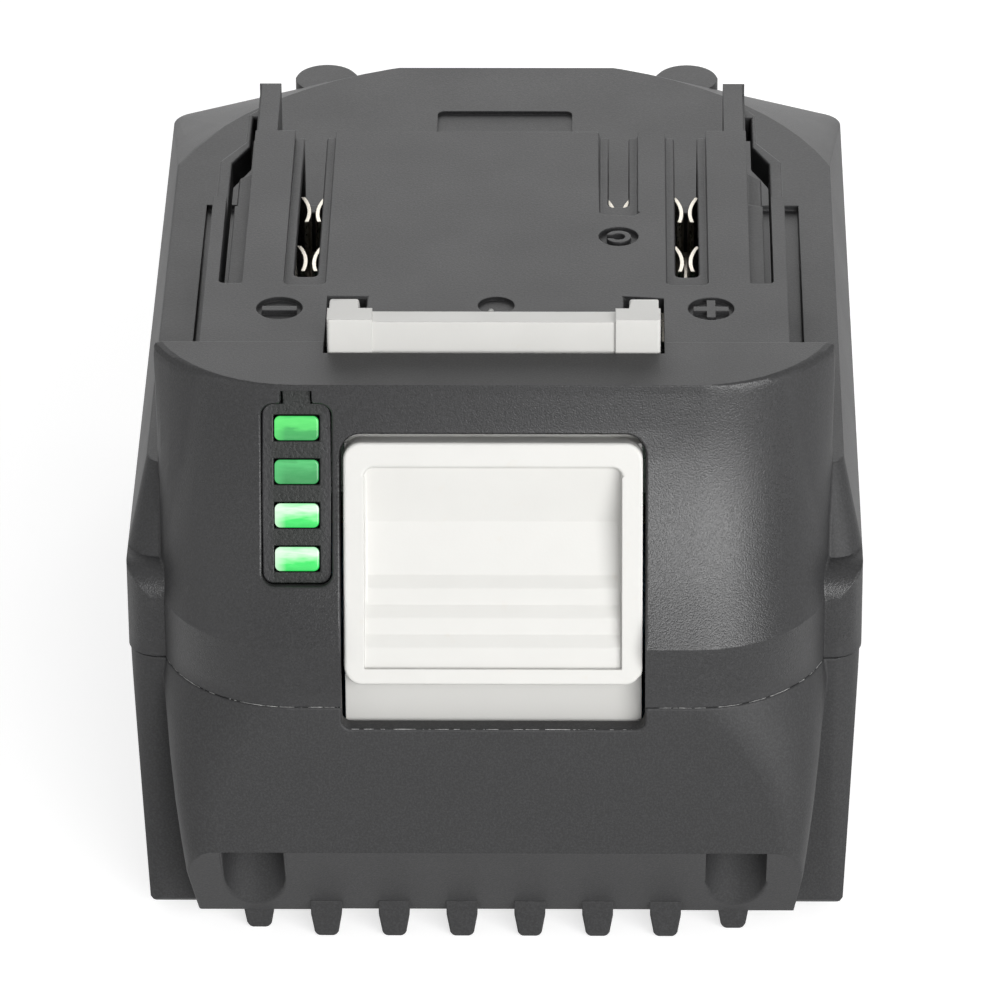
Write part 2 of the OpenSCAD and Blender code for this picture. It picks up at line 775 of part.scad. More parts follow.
module gauge_key() {
  flange_d = key_face + key_t;
  color([0.06, 0.06, 0.065]) at_gauge() difference() {
    union() {
      along_y(key_face, flange_d + key_flange_t) key_outline(0);
      box([-key_w / 2 - 1, flange_d, -gauge_half - 4], [key_w / 2, flange_d + key_flange_t, gauge_half]);
    }
    for (k = [-1.5:1:1.5])
      translate([0, 0, bar_pitch * k])
        box([-bar_w / 2, key_face - cut, -bar_h / 2], [bar_w / 2, flange_d + 2, bar_h / 2]);
  }
}

module light_bars() {
  fit = 0.03;
  hw = bar_w / 2 - fit;
  hh = bar_h / 2 - fit;
  color([0.1, 0.85, 0.25]) at_gauge() for (k = [-1.5:1:1.5])
    translate([0, 0, bar_pitch * k])
      face_plate(-hw, -hh, hw, hh, 0.6, key_face - 0.2, key_face + key_t + key_flange_t);
}

// Place on the front of the gauge board
module on_gauge_board() {
  at_gauge() translate([0, gauge_board_face, 0]) children();
}

module gauge_board() {
  color([0.05, 0.3, 0.14]) on_gauge_board()
    box([gauge_board_x[0], 0, -gauge_half - 4], [gauge_board_x[1], gauge_board_t, gauge_half - 1.6]);
}

module gauge_leds() {
  color([0.85, 0.9, 0.8]) on_gauge_board() for (k = [-1.5:1:1.5])
    translate([0, -led_size[1] / 2, bar_pitch * k]) cube(led_size, center = true);
}

module check_switch() {
  color([0.3, 0.3, 0.32]) on_gauge_board() translate([switch_x, 0, -gauge_half - switch_step]) union() {
    translate([0, -switch_size[1] / 2, 0]) cube(switch_size, center = true);
    translate([0, -switch_size[1], 0]) rotate([90, 0, 0]) cylinder(d = 1.6, h = 0.5);
  }
}

// Flat cable from the back of the gauge board to the main board
module gauge_cable() {
  t = 0.5;
  touch = 0.05;
  bow = board_top + 1;
  z0 = bow + 1;
  depth = gauge_board_face + gauge_board_t + touch;
  up = (z0 - gauge_z + depth * sin(gauge_lean)) / cos(gauge_lean);
  y0 = gauge_y + depth * cos(gauge_lean) + up * sin(gauge_lean);
  y1 = board_y0 + 1;
  low = board_top + touch;
  color([0.75, 0.74, 0.7]) translate([-gauge_x - 3, 0, 0]) along_x(5)
    polygon([
      [y0, z0], [y0 + 1.6, bow - t], [y1, bow - t], [y1 + 0.6, low], [y1 + 3, low],
      [y1 + 3, low + t], [y1 + 1, low + t], [y1 + 0.4, bow], [y0 + 1.9, bow],
      [y0 + 1.2 * sin(gauge_lean), z0 + 1.2 * cos(gauge_lean)]]);
}

// Legs of the contacts pass through the block and the board
module contact_legs(x, grow) {
  for (y = leg_places)
    translate([x, leg_y(y), 0])
      box([-0.4 - grow, -1 - grow, board_z - 0.6], [0.4 + grow, 1 + grow, block_top + 0.1]);
}

function leg_y(y) = platform_back - 8 + y;

module main_board() {
  color([0.05, 0.32, 0.15]) difference() {
    box([-board_hw, board_y0, board_z], [board_hw, board_y1, board_top]);
    contact_legs(-blade_span / 2, 0.1);
    contact_legs(blade_span / 2, 0.1);
    contact_legs(signal_x, 0.1);
  }
}

// Flat package on top of the board
module package(x, y, size) {
  translate([x - size[0] / 2, y - size[1] / 2, board_top]) cube(size);
}

module controller_chip() {
  color([0.05, 0.05, 0.05]) package(0, board_y0 + 14, chip_size);
}

module power_transistors() {
  color([0.06, 0.06, 0.06]) for (s = [-1.5, 1.5])
    package(s * transistor_size[0], power_y, transistor_size);
}

module main_fuse() {
  color([0.85, 0.83, 0.76]) package(blade_span / 2, power_y, fuse_size);
}

module sense_resistor() {
  color([0.15, 0.15, 0.15]) package(0, board_y1 - 4.3, resistor_size);
}

module terminal_block() {
  side = neck_w / 2 - wall - gap;
  color([0.2, 0.2, 0.21]) difference() {
    box([-side, leg_y(block_ends[0]), board_top], [side, leg_y(block_ends[1]), block_top]);
    contact_legs(-blade_span / 2, 0.1);
    contact_legs(blade_span / 2, 0.1);
    contact_legs(signal_x, 0.1);
  }
}

// Pair of curved contact leaves, flared towards the back for the blade
module leaf_pair(y, depth) {
  half_gap = 0.2;
  for (s = [-1, 1]) intersection() {
    translate([s * (finger_r + contact_t + half_gap), y]) difference() {
      circle(finger_r + contact_t, $fn = 96);
      circle(finger_r, $fn = 96);
    }
    translate([-3, y - depth * 0.35]) square([6, depth]);
  }
}

// Contact: base plate, legs and upright leaf pairs
module contact(x, hw, base, pairs) {
  union() {
    box([x - hw, leg_y(base[0]), block_top + 0.05], [x + hw, leg_y(base[1]), block_top + base_t]);
    translate([0, 0, 0.05]) contact_legs(x, 0);
    upright(block_top + base_t - 0.1, finger_top)
      for (y = pairs) translate([x, 0]) leaf_pair(leg_y(y), leaf_l);
  }
}

module terminal_negative() {
  color([0.8, 0.79, 0.75]) contact(-blade_span / 2, power_hw, power_base, power_pairs);
}

module terminal_positive() {
  color([0.8, 0.79, 0.75]) contact(blade_span / 2, power_hw, power_base, power_pairs);
}

module terminal_signal() {
  color([0.8, 0.79, 0.75]) contact(signal_x, signal_hw, signal_base, signal_pairs);
}

function cell_y(column) = cell_y1 + cell_pitch * (column - 1);
function cell_z(row) = cell_z1 + cell_pitch * (row - 1);

// Cell lying across the pack; odd columns have their plus end on the right
module cell(index) {
  column = 1 + floor((index - 1) / 2);
  row = 1 + (index - 1) % 2;
  turn = column % 2 == 1 ? 90 : -90;
  cap_d = 8;
  color([0.16, 0.45, 0.62]) translate([0, cell_y(column), cell_z(row)]) rotate([0, turn, 0]) union() {
    translate([0, 0, -cell_end]) cylinder(d = cell_d, h = cell_l - 1);
    translate([0, 0, cell_end - 1 - cut]) cylinder(d = cap_d, h = 1 + cut);
  }
}

// Holder at one end of the cells, with posts for the board
module cell_holder() {
  y0 = cell_y(1) - 6.5;
  y1 = cell_y(5) + 6.5;
  z0 = in_floor + pad_t;
  difference() {
    union() {
      box([cell_end - holder_t, y0, z0], [cell_end, y1, holder_top]);
      for (y = [y0 + 10, (board_y0 + board_y1) / 2, board_y1 - 8])
        box([cell_end - 2.2, y - 2.5, holder_top - cut], [cell_end - 0.4, y + 2.5, board_z]);
    }
    for (column = [1:5], row = [1:2])
      translate([0, cell_y(column), cell_z(row)]) rotate([0, 90, 0]) cylinder(d = cell_d + 0.1, h = cell_l);
  }
}

module cell_holder_left() {
  color([0.5, 0.5, 0.52]) mirror([1, 0, 0]) cell_holder();
}

module cell_holder_right() {
  color([0.5, 0.5, 0.52]) cell_holder();
}

// Nickel strap over one or two columns, with a tab beside the board edge
module strap(side, first, last) {
  half = 5;
  middle = (cell_y(first) + cell_y(last)) / 2;
  tab = first == last ? (first == 1 ? middle + 3 : middle - 6) : middle;
  x0 = side > 0 ? cell_end : -cell_end - strip_t;
  color([0.76, 0.75, 0.72]) translate([x0, 0, 0]) union() {
    box([0, cell_y(first) - half, cell_z(1) - half], [strip_t, cell_y(last) + half, cell_z(2) + half]);
    box([0, tab - 2.5, cell_z(2)], [strip_t, tab + 2.5, board_z + board_t / 2]);
  }
}

module insulation_sheet() {
  color([0.55, 0.6, 0.5])
    box([-cell_end + 2.5, cell_y(1) - 4, holder_top], [cell_end - 2.5, cell_y(5) + 3, holder_top + sheet_t]);
}

module base_pad() {
  color([0.25, 0.25, 0.26])
    box([-cell_end + 2, cell_y(1) - 5, in_floor], [cell_end - 2, cell_y(5) + 4, in_floor + pad_t]);
}

module case_screw() {
  drive = 2.2;
  difference() {
    union() {
      translate([0, 0, well_top - screw_head_h]) cylinder(d = screw_head_d, h = screw_head_h);
      translate([0, 0, well_top - 0.2]) cylinder(d = screw_d, h = screw_l);
    }
    translate([0, 0, well_top - screw_head_h - cut]) cylinder(d = drive, h = 1.2 + cut, $fn = 6);
  }
}

module case_screws() {
  color([0.35, 0.35, 0.37]) at_screws() {
    case_screw();
    case_screw();
  }
}

lower_case();
upper_case();
release_latch();
latch_springs();
gauge_key();
light_bars();
gauge_board();
gauge_leds();
check_switch();
gauge_cable();
main_board();
controller_chip();
power_transistors();
main_fuse();
sense_resistor();
terminal_block();
terminal_negative();
terminal_positive();
terminal_signal();
cell_holder_left();
cell_holder_right();
cell(1);  // cell_1
cell(2);  // cell_2
cell(3);  // cell_3
cell(4);  // cell_4
cell(5);  // cell_5
cell(6);  // cell_6
cell(7);  // cell_7
cell(8);  // cell_8
cell(9);  // cell_9
cell(10);  // cell_10
strap(-1, 1, 1);  // strap_left_1
strap(-1, 2, 3);  // strap_left_2
strap(-1, 4, 5);  // strap_left_3
strap(1, 1, 2);  // strap_right_1
strap(1, 3, 4);  // strap_right_2
strap(1, 5, 5);  // strap_right_3
insulation_sheet();
base_pad();
case_screws();
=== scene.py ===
"""Looks of a slide-on battery pack for cordless tools.

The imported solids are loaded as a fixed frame.  The visible mouldings are replaced by copies with
rounded edges, the screws, coils and seam flash are made by geometry nodes, and every piece gets a
procedural finish.  Metres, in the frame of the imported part.
"""

from __future__ import annotations

import json
import logging
import math
from dataclasses import dataclass, field
from enum import Enum
from typing import Any, Iterable, Sequence

import bmesh
import bpy
from mathutils import Matrix, Vector
from mathutils.bvhtree import BVHTree
from mathutils.geometry import area_tri, tessellate_polygon
from mathutils.kdtree import KDTree

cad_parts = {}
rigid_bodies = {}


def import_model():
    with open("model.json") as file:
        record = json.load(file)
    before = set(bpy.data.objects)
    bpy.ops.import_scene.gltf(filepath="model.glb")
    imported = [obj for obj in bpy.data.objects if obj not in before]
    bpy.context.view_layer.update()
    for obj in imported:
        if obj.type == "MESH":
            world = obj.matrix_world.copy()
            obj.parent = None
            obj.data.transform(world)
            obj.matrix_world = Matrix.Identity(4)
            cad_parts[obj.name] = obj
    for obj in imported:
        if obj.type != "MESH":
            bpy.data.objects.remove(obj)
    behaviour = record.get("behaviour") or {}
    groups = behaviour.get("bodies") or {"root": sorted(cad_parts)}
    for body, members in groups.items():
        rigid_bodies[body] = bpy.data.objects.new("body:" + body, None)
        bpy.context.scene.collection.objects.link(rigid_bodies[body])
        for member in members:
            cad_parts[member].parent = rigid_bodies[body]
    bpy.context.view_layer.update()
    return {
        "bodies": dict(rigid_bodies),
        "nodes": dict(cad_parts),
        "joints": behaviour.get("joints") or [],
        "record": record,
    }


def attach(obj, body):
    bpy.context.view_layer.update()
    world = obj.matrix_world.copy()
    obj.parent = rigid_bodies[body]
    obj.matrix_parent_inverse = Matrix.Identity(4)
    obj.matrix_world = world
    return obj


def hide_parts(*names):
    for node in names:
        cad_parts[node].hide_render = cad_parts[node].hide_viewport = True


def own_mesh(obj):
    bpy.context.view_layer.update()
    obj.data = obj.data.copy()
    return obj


LOG = logging.getLogger("battery_pack")
MM = 0.001
NOISE_LOW, NOISE_HIGH = 0.3, 0.7

Triple = tuple[float, float, float]
Colour = Triple
Stop = tuple[float, Colour]
Socket = bpy.types.NodeSocket
Object = bpy.types.Object
Mesh = bpy.types.Mesh
Material = bpy.types.Material
Shape = bmesh.types.BMesh


class Body(Enum):
    """The bodies of the pack that move on their own."""

    CASE = "case"
    LATCH = "latch"
    GAUGE = "gauge"


class Light(Enum):
    """How strongly a gauge bar is lit, in the order of the material slots."""

    DIM = 0
    MIDDLE = 1
    BRIGHT = 2


def shade(colour: Colour, share: float) -> Colour:
    """Make a colour darker or lighter by a factor."""
    return tuple(c * share for c in colour)


class Graph:
    """A node tree with short ways to add nodes and feed their sockets."""

    def __init__(self, tree: bpy.types.NodeTree) -> None:
        """Take over an empty node tree."""
        self.tree = tree

    def add(self, kind: str, inputs: dict[Any, Any] | None = None, **settings: Any) -> bpy.types.Node:
        """Add one node.

        Args:
            kind: Blender's name of the node type.
            inputs: Values or output sockets by input name or index.
            **settings: Properties of the node, set before its inputs.

        Returns:
            The new node.
        """
        node = self.tree.nodes.new(kind)
        for key, value in settings.items():
            setattr(node, key, value)
        for key, value in (inputs or {}).items():
            self.feed(node, key, value)
        return node

    def feed(self, node: bpy.types.Node, key: Any, value: Any) -> None:
        """Set an input to a constant, or link an output socket to it.

        Args:
            node: The node whose input is fed.
            key: Input name or index.
            value: A constant or an output socket.
        """
        if isinstance(value, Socket):
            self.tree.links.new(value, node.inputs[key])
        else:
            node.inputs[key].default_value = value

    def maths(self, operation: str, a: Any, b: Any = 0.0) -> Socket:
        """One arithmetic step on two values or sockets, by Blender's name of the operation."""
        return self.add("ShaderNodeMath", {0: a, 1: b}, operation=operation).outputs["Value"]

    def span(self, value: Socket, low: Any, high: float, to_low: float, to_high: float) -> Socket:
        """Map a value from the range low to high onto another range, clamped."""
        limits = {"From Min": low, "From Max": high, "To Min": to_low, "To Max": to_high}
        return self.add("ShaderNodeMapRange", {"Value": value, **limits}).outputs["Result"]

    def seen(self) -> Socket:
        """Tell rays that show a surface, straight or mirrored, from those that only light others.

        Returns:
            1 for rays that show it, or else 0.
        """
        path = self.add("ShaderNodeLightPath").outputs
        value = path["Is Camera Ray"]
        for ray in ("Is Glossy Ray", "Is Transmission Ray"):
            value = self.maths("MAXIMUM", value, path[ray])
        return value


class ShaderGraph(Graph):
    """A material's tree: object coordinates in, one principled shader out."""

    def __init__(self, name: str) -> None:
        """Make the material.

        Args:
            name: Name of the material.
        """
        self.material = bpy.data.materials.new(name)
        self.material.use_nodes = True
        super().__init__(self.material.node_tree)
        self.tree.nodes.clear()
        self.shader = self.add("ShaderNodeBsdfPrincipled")
        self.add("ShaderNodeOutputMaterial", {"Surface": self.shader.outputs["BSDF"]})
        self.place = self.add("ShaderNodeTexCoord").outputs["Object"]

    def along(self, axis: str) -> Socket:
        """Object coordinate along X, Y or Z."""
        return self.add("ShaderNodeSeparateXYZ", {"Vector": self.place}).outputs[axis]

    def noise(self, size: float, detail: float = 2.0, stretch: Triple = (1.0, 1.0, 1.0)) -> Socket:
        """Noise with features of a given size.

        Args:
            size: Feature size in metres.
            detail: Octaves of finer noise.
            stretch: Scale of the coordinates along each axis.

        Returns:
            The noise value, around one half.
        """
        vector = self.add("ShaderNodeMapping", {"Vector": self.place, "Scale": stretch}).outputs["Vector"]
        node = self.add("ShaderNodeTexNoise", {"Vector": vector, "Scale": 1.0 / size, "Detail": detail})
        return node.outputs["Fac"]

    def vary(self, noise: Socket, low: float, high: float) -> Socket:
        """Spread the usual range of a noise value over another range."""
        return self.span(noise, NOISE_LOW, NOISE_HIGH, low, high)

    def tint(self, noise: Socket, a: Colour, b: Colour) -> Socket:
        """Go from one colour to another over the usual range of a noise value."""
        return self.ramp(noise, [(NOISE_LOW, a), (NOISE_HIGH, b)])

    def blend(self, share: Socket, a: Any, b: Any) -> Socket:
        """Mix two colours or colour sockets by the share of the second."""
        pair = [c if isinstance(c, Socket) else (*c, 1.0) for c in (a, b)]
        return self.add("ShaderNodeMix", {0: share, 6: pair[0], 7: pair[1]}, data_type="RGBA").outputs[2]

    def ramp(self, value: Socket, stops: Sequence[Stop]) -> Socket:
        """Colours along a value.

        Args:
            value: The value from 0 to 1.
            stops: Places and colours, in order.

        Returns:
            The colour.
        """
        node = self.add("ShaderNodeValToRGB", {"Fac": value})
        elements = node.color_ramp.elements
        while len(elements) < len(stops):
            elements.new(1.0)
        for element, (place, colour) in zip(elements, stops):
            element.position = place
            element.color = (*colour, 1.0)
        return node.outputs["Color"]

    def edge_normal(self, radius: float) -> Socket:
        """Normal that is rounded along edges, with a radius in metres."""
        return self.add("ShaderNodeBevel", {"Radius": radius}, samples=6).outputs["Normal"]

    def bump(self, height: Socket, depth: float, under: Socket | None = None) -> Socket:
        """Surface relief from a height value.

        Args:
            height: The height from 0 to 1.
            depth: Relief depth in metres.
            under: Normal to build on.

        Returns:
            The normal.
        """
        inputs: dict[Any, Any] = {"Height": height, "Distance": depth, "Strength": 1.0}
        if under is not None:
            inputs["Normal"] = under
        return self.add("ShaderNodeBump", inputs).outputs["Normal"]

    def set(self, **inputs: Any) -> None:
        """Feed the shader's sockets, with underscores for spaces in their names."""
        for key, value in inputs.items():
            is_colour = isinstance(value, tuple) and len(value) == 3
            self.feed(self.shader, key.replace("_", " "), (*value, 1.0) if is_colour else value)


@dataclass(frozen=True)
class Finish:
    """A finish by name; each kind paints its tree in its own way."""

    name: str

    def material(self) -> Material:
        """Build the material.

        Returns:
            The finished material.
        """
        g = ShaderGraph(self.name)
        self.paint(g)
        return g.material

    def paint(self, g: ShaderGraph) -> None:
        """Fill the material's tree; every kind of finish has its own."""
        raise NotImplementedError


@dataclass(frozen=True)
class ShellPlastic(Finish):
    """Black moulded plastic with a fine grain; the nose is coarser, glossier and shaded with a crown."""

    colour: Colour = (0.0145, 0.0145, 0.0151)
    rough: float = 0.56
    gloss: float = 0.4
    grain: float = 0.16 * MM
    depth: float = 0.022 * MM
    edge: float = 0.15 * MM
    cloud: float = 9.0 * MM
    cloud_share: float = 0.08
    dust: float = 0.5 * MM
    dust_colour: Colour = (0.07, 0.07, 0.071)
    speck: float = 0.22 * MM
    speck_glint_gain: float = 3.2
    has_nose: bool = True
    nose_rough: float = 0.30
    nose_grain: float = 0.16 * MM
    nose_depth: float = 0.016 * MM
    nose_crown: float = 6.5
    nose_flat: float = 20.0 * MM
    nose_fade: float = 12.0 * MM
    nose_low: float = 32.0 * MM
    nose_back: float = -43.0 * MM
    scuff: float = 1.6 * MM
    scuff_colour: Colour = (0.22, 0.21, 0.22)

    def paint(self, g: ShaderGraph) -> None:
        """Fill the material's tree.

        Args:
            g: The tree.
        """
        cloud = g.noise(self.cloud, 3.0)
        dust = g.span(g.noise(self.dust, 4.0), 0.62, 0.78, 0.0, 0.16)
        # lighter specks painted into the colour: partly the grain's own tone, partly painted glints of the
        # grain
        speck = g.span(g.noise(self.speck, 3.0), 0.40, 0.72, 0.0, 0.45)
        darker, lighter = (shade(self.colour, 1.0 + k * self.cloud_share) for k in (-1, 1))
        colour = g.blend(dust, g.tint(cloud, darker, lighter), self.dust_colour)
        colour = g.blend(speck, colour, shade(self.colour, self.speck_glint_gain))
        rough = g.vary(cloud, self.rough - 0.02, self.rough + 0.02)
        normal = g.edge_normal(self.edge)
        if self.has_nose:
            colour, rough, normal = self.nose(g, colour, rough, normal)
        normal = g.bump(g.noise(self.grain, 2.0), self.depth, normal)
        g.set(Base_Color=colour, Roughness=rough, Normal=normal, Specular_IOR_Level=self.gloss, IOR=1.5)

    def nose(self, g: ShaderGraph, colour: Socket, rough: Socket, normal: Socket) -> tuple[Socket, ...]:
        """Work the nose into the finish: scuffs, more gloss, a slight crown and coarser grain.

        Args:
            g: The material's tree.
            colour: Colour elsewhere.
            rough: Roughness elsewhere.
            normal: Normal elsewhere.

        Returns:
            Colour, roughness and normal of the whole.
        """
        face = g.add("ShaderNodeNewGeometry").outputs["Normal"]
        facing = g.add("ShaderNodeSeparateXYZ", {"Vector": face}).outputs["Y"]
        above = g.span(g.along("Z"), self.nose_low, self.nose_low + 2 * MM, 0.0, 1.0)
        ahead = g.span(g.along("Y"), self.nose_back, self.nose_back - MM, 0.0, 1.0)
        zone = g.maths("MULTIPLY", g.span(facing, -0.35, -0.75, 0.0, 1.0), above)
        zone = g.maths("MULTIPLY", zone, ahead)
        coarse = g.noise(self.nose_grain, 1.0)
        scuff = g.noise(self.scuff, 5.0, (1.0, 1.0, 0.55))
        marks = g.maths("MULTIPLY", zone, g.span(scuff, 0.70, 0.82, 0.0, 0.22))
        colour = g.blend(marks, colour, self.scuff_colour)
        nose_rough = g.vary(coarse, self.nose_rough - 0.09, self.nose_rough + 0.12)
        rough = g.add("ShaderNodeMix", {0: zone, 2: rough, 3: nose_rough}, data_type="FLOAT").outputs[0]
        across = g.along("X")
        limit = self.nose_flat + self.nose_fade
        fade = g.span(g.maths("ABSOLUTE", across), self.nose_flat, limit, 1.0, 0.0)
        lean = g.maths("MULTIPLY", across, self.nose_crown)
        lean = g.maths("MULTIPLY", lean, g.maths("MULTIPLY", zone, fade))
        aside = g.add("ShaderNodeCombineXYZ", {"X": lean}).outputs["Vector"]
        normal = g.add("ShaderNodeVectorMath", {0: normal, 1: aside}, operation="ADD").outputs["Vector"]
        normal = g.add("ShaderNodeVectorMath", {0: normal}, operation="NORMALIZE").outputs["Vector"]
        return colour, rough, g.bump(g.maths("MULTIPLY", coarse, zone), self.nose_depth, normal)


@dataclass(frozen=True)
class SatinWhite(Finish):
    """White satin moulding with faint warm stains; painted shade makes the plate under the frame greyer."""

    colour: Colour = (0.60, 0.595, 0.573)
    stain: Colour = (0.57, 0.51, 0.43)
    rough: float = 0.42
    cloud: float = 5.0 * MM
    spot: float = 2.2 * MM
    grain: float = 0.25 * MM
    depth: float = 0.006 * MM
    edge: float = 0.2 * MM
    plate_top: float = 34.7 * MM
    plate_fade: float = 0.3 * MM
    plate_shade_share: float = 0.84

    def paint(self, g: ShaderGraph) -> None:
        """Fill the material's tree.

        Args:
            g: The tree.
        """
        cloud = g.noise(self.cloud, 3.0)
        spots = g.span(g.noise(self.spot, 5.0), 0.66, 0.80, 0.0, 0.30)
        colour = g.blend(spots, g.tint(cloud, shade(self.colour, 0.975), self.colour), self.stain)
        # painted shade: below the plate's top the colour turns greyer, as if shaded by the frame above it
        under = g.span(g.along("Z"), self.plate_top, self.plate_top - self.plate_fade, 0.0, 1.0)
        g.set(
            Base_Color=g.blend(under, colour, shade(self.colour, self.plate_shade_share)),
            Roughness=g.vary(cloud, self.rough - 0.05, self.rough + 0.06),
            Normal=g.bump(g.noise(self.grain, 2.0), self.depth, g.edge_normal(self.edge)),
            IOR=1.49,
        )


@dataclass(frozen=True)
class PanelGloss(Finish):
    """Pebbled black panel, darker along the column of the bars."""

    colour: Colour = (0.016, 0.016, 0.017)
    dark: Colour = (0.006, 0.0075, 0.0065)
    rough: float = 0.34
    gloss: float = 0.3
    cloud: float = 4.0 * MM
    pebble: float = 0.32 * MM
    depth: float = 0.035 * MM
    middle: float = -19.95 * MM
    half: float = 2.7 * MM

    def paint(self, g: ShaderGraph) -> None:
        """Fill the material's tree.

        Args:
            g: The tree.
        """
        pebble = g.noise(self.pebble, 3.0)
        away = g.maths("ABSOLUTE", g.maths("SUBTRACT", g.along("X"), self.middle))
        margin = g.span(away, self.half - 0.5 * MM, self.half + 0.4 * MM, 0.0, 1.0)
        colour = g.tint(g.noise(self.cloud, 2.0), self.colour, shade(self.colour, 1.4))
        g.set(
            Base_Color=g.blend(margin, self.dark, colour),
            Roughness=g.vary(pebble, self.rough - 0.08, self.rough + 0.12),
            Specular_IOR_Level=self.gloss,
            Normal=g.bump(pebble, self.depth),
            IOR=1.5,
        )


LENS_STOPS: dict[Light, list[Stop]] = {
    Light.DIM: [
        (0.0, (0.03, 0.26, 0.07)),
        (0.35, (0.04, 0.31, 0.09)),
        (0.6, (0.06, 0.40, 0.12)),
        (0.9, (0.09, 0.55, 0.17)),
        (1.0, (0.05, 0.40, 0.11)),
    ],
    Light.MIDDLE: [
        (0.0, (0.04, 0.34, 0.09)),
        (0.4, (0.05, 0.42, 0.10)),
        (0.55, (0.09, 0.70, 0.14)),
        (0.85, (0.12, 0.82, 0.17)),
        (1.0, (0.08, 0.66, 0.14)),
    ],
    Light.BRIGHT: [
        (0.0, (0.03, 0.66, 0.11)),
        (0.3, (0.05, 0.86, 0.15)),
        (0.5, (0.35, 0.98, 0.42)),
        (0.78, (0.86, 1.0, 0.86)),
        (1.0, (0.40, 0.98, 0.48)),
    ],
}


@dataclass(frozen=True)
class LitLens(Finish):
    """Green light bar, lit from behind; its own UV map runs across and up each bar."""

    light: Light
    body: Colour = (0.004, 0.045, 0.012)
    strength: float = 0.95
    streak: float = 0.6 * MM
    margin: float = 0.26

    def paint(self, g: ShaderGraph) -> None:
        """Fill the material's tree.

        Args:
            g: The tree.
        """
        uv = g.add("ShaderNodeUVMap", uv_map="bar").outputs["UV"]
        across, up = g.add("ShaderNodeSeparateXYZ", {"Vector": uv}).outputs[:2]
        streak = g.noise(self.streak, 3.0, (0.35, 1.0, 1.6))
        stops = LENS_STOPS[self.light]
        glow = g.ramp(g.maths("ADD", up, g.vary(streak, -0.10, 0.10)), stops)
        glow = g.blend(g.span(across, 0.0, self.margin, 0.75, 0.0), glow, stops[-2][1])
        g.set(
            Base_Color=self.body,
            Roughness=g.vary(streak, 0.16, 0.26),
            Emission_Color=glow,
            Emission_Strength=self.strength,
            IOR=1.49,
        )


@dataclass(frozen=True)
class PlatedMetal(Finish):
    """Plated sheet or wire with fine drawn streaks."""

    colour: Colour
    rough: float
    streak: Triple
    cloud: float = 2.0 * MM
    line: float = 0.15 * MM
    depth: float = 0.004 * MM

    def paint(self, g: ShaderGraph) -> None:
        """Fill the material's tree.

        Args:
            g: The tree.
        """
        lines = g.noise(self.line, 3.0, self.streak)
        colour = g.tint(g.noise(self.cloud, 3.0), shade(self.colour, 0.86), self.colour)
        rough = g.vary(lines, self.rough - 0.08, self.rough + 0.12)
        g.set(Base_Color=colour, Roughness=rough, Normal=g.bump(lines, self.depth), Metallic=1.0)


@dataclass(frozen=True)
class Mottled(Finish):
    """Plain material: two close colours, uneven gloss and a little relief."""

    colour: Colour
    other: Colour
    rough: float
    size: float
    relief: float = 0.02 * MM

    def paint(self, g: ShaderGraph) -> None:
        """Fill the material's tree.

        Args:
            g: The tree.
        """
        value = g.noise(self.size, 4.0)
        rough = g.vary(value, self.rough - 0.08, self.rough + 0.08)
        colour = g.ramp(value, [(0.35, self.colour), (0.65, self.other)])
        g.set(Base_Color=colour, Roughness=rough, Normal=g.bump(value, self.relief))


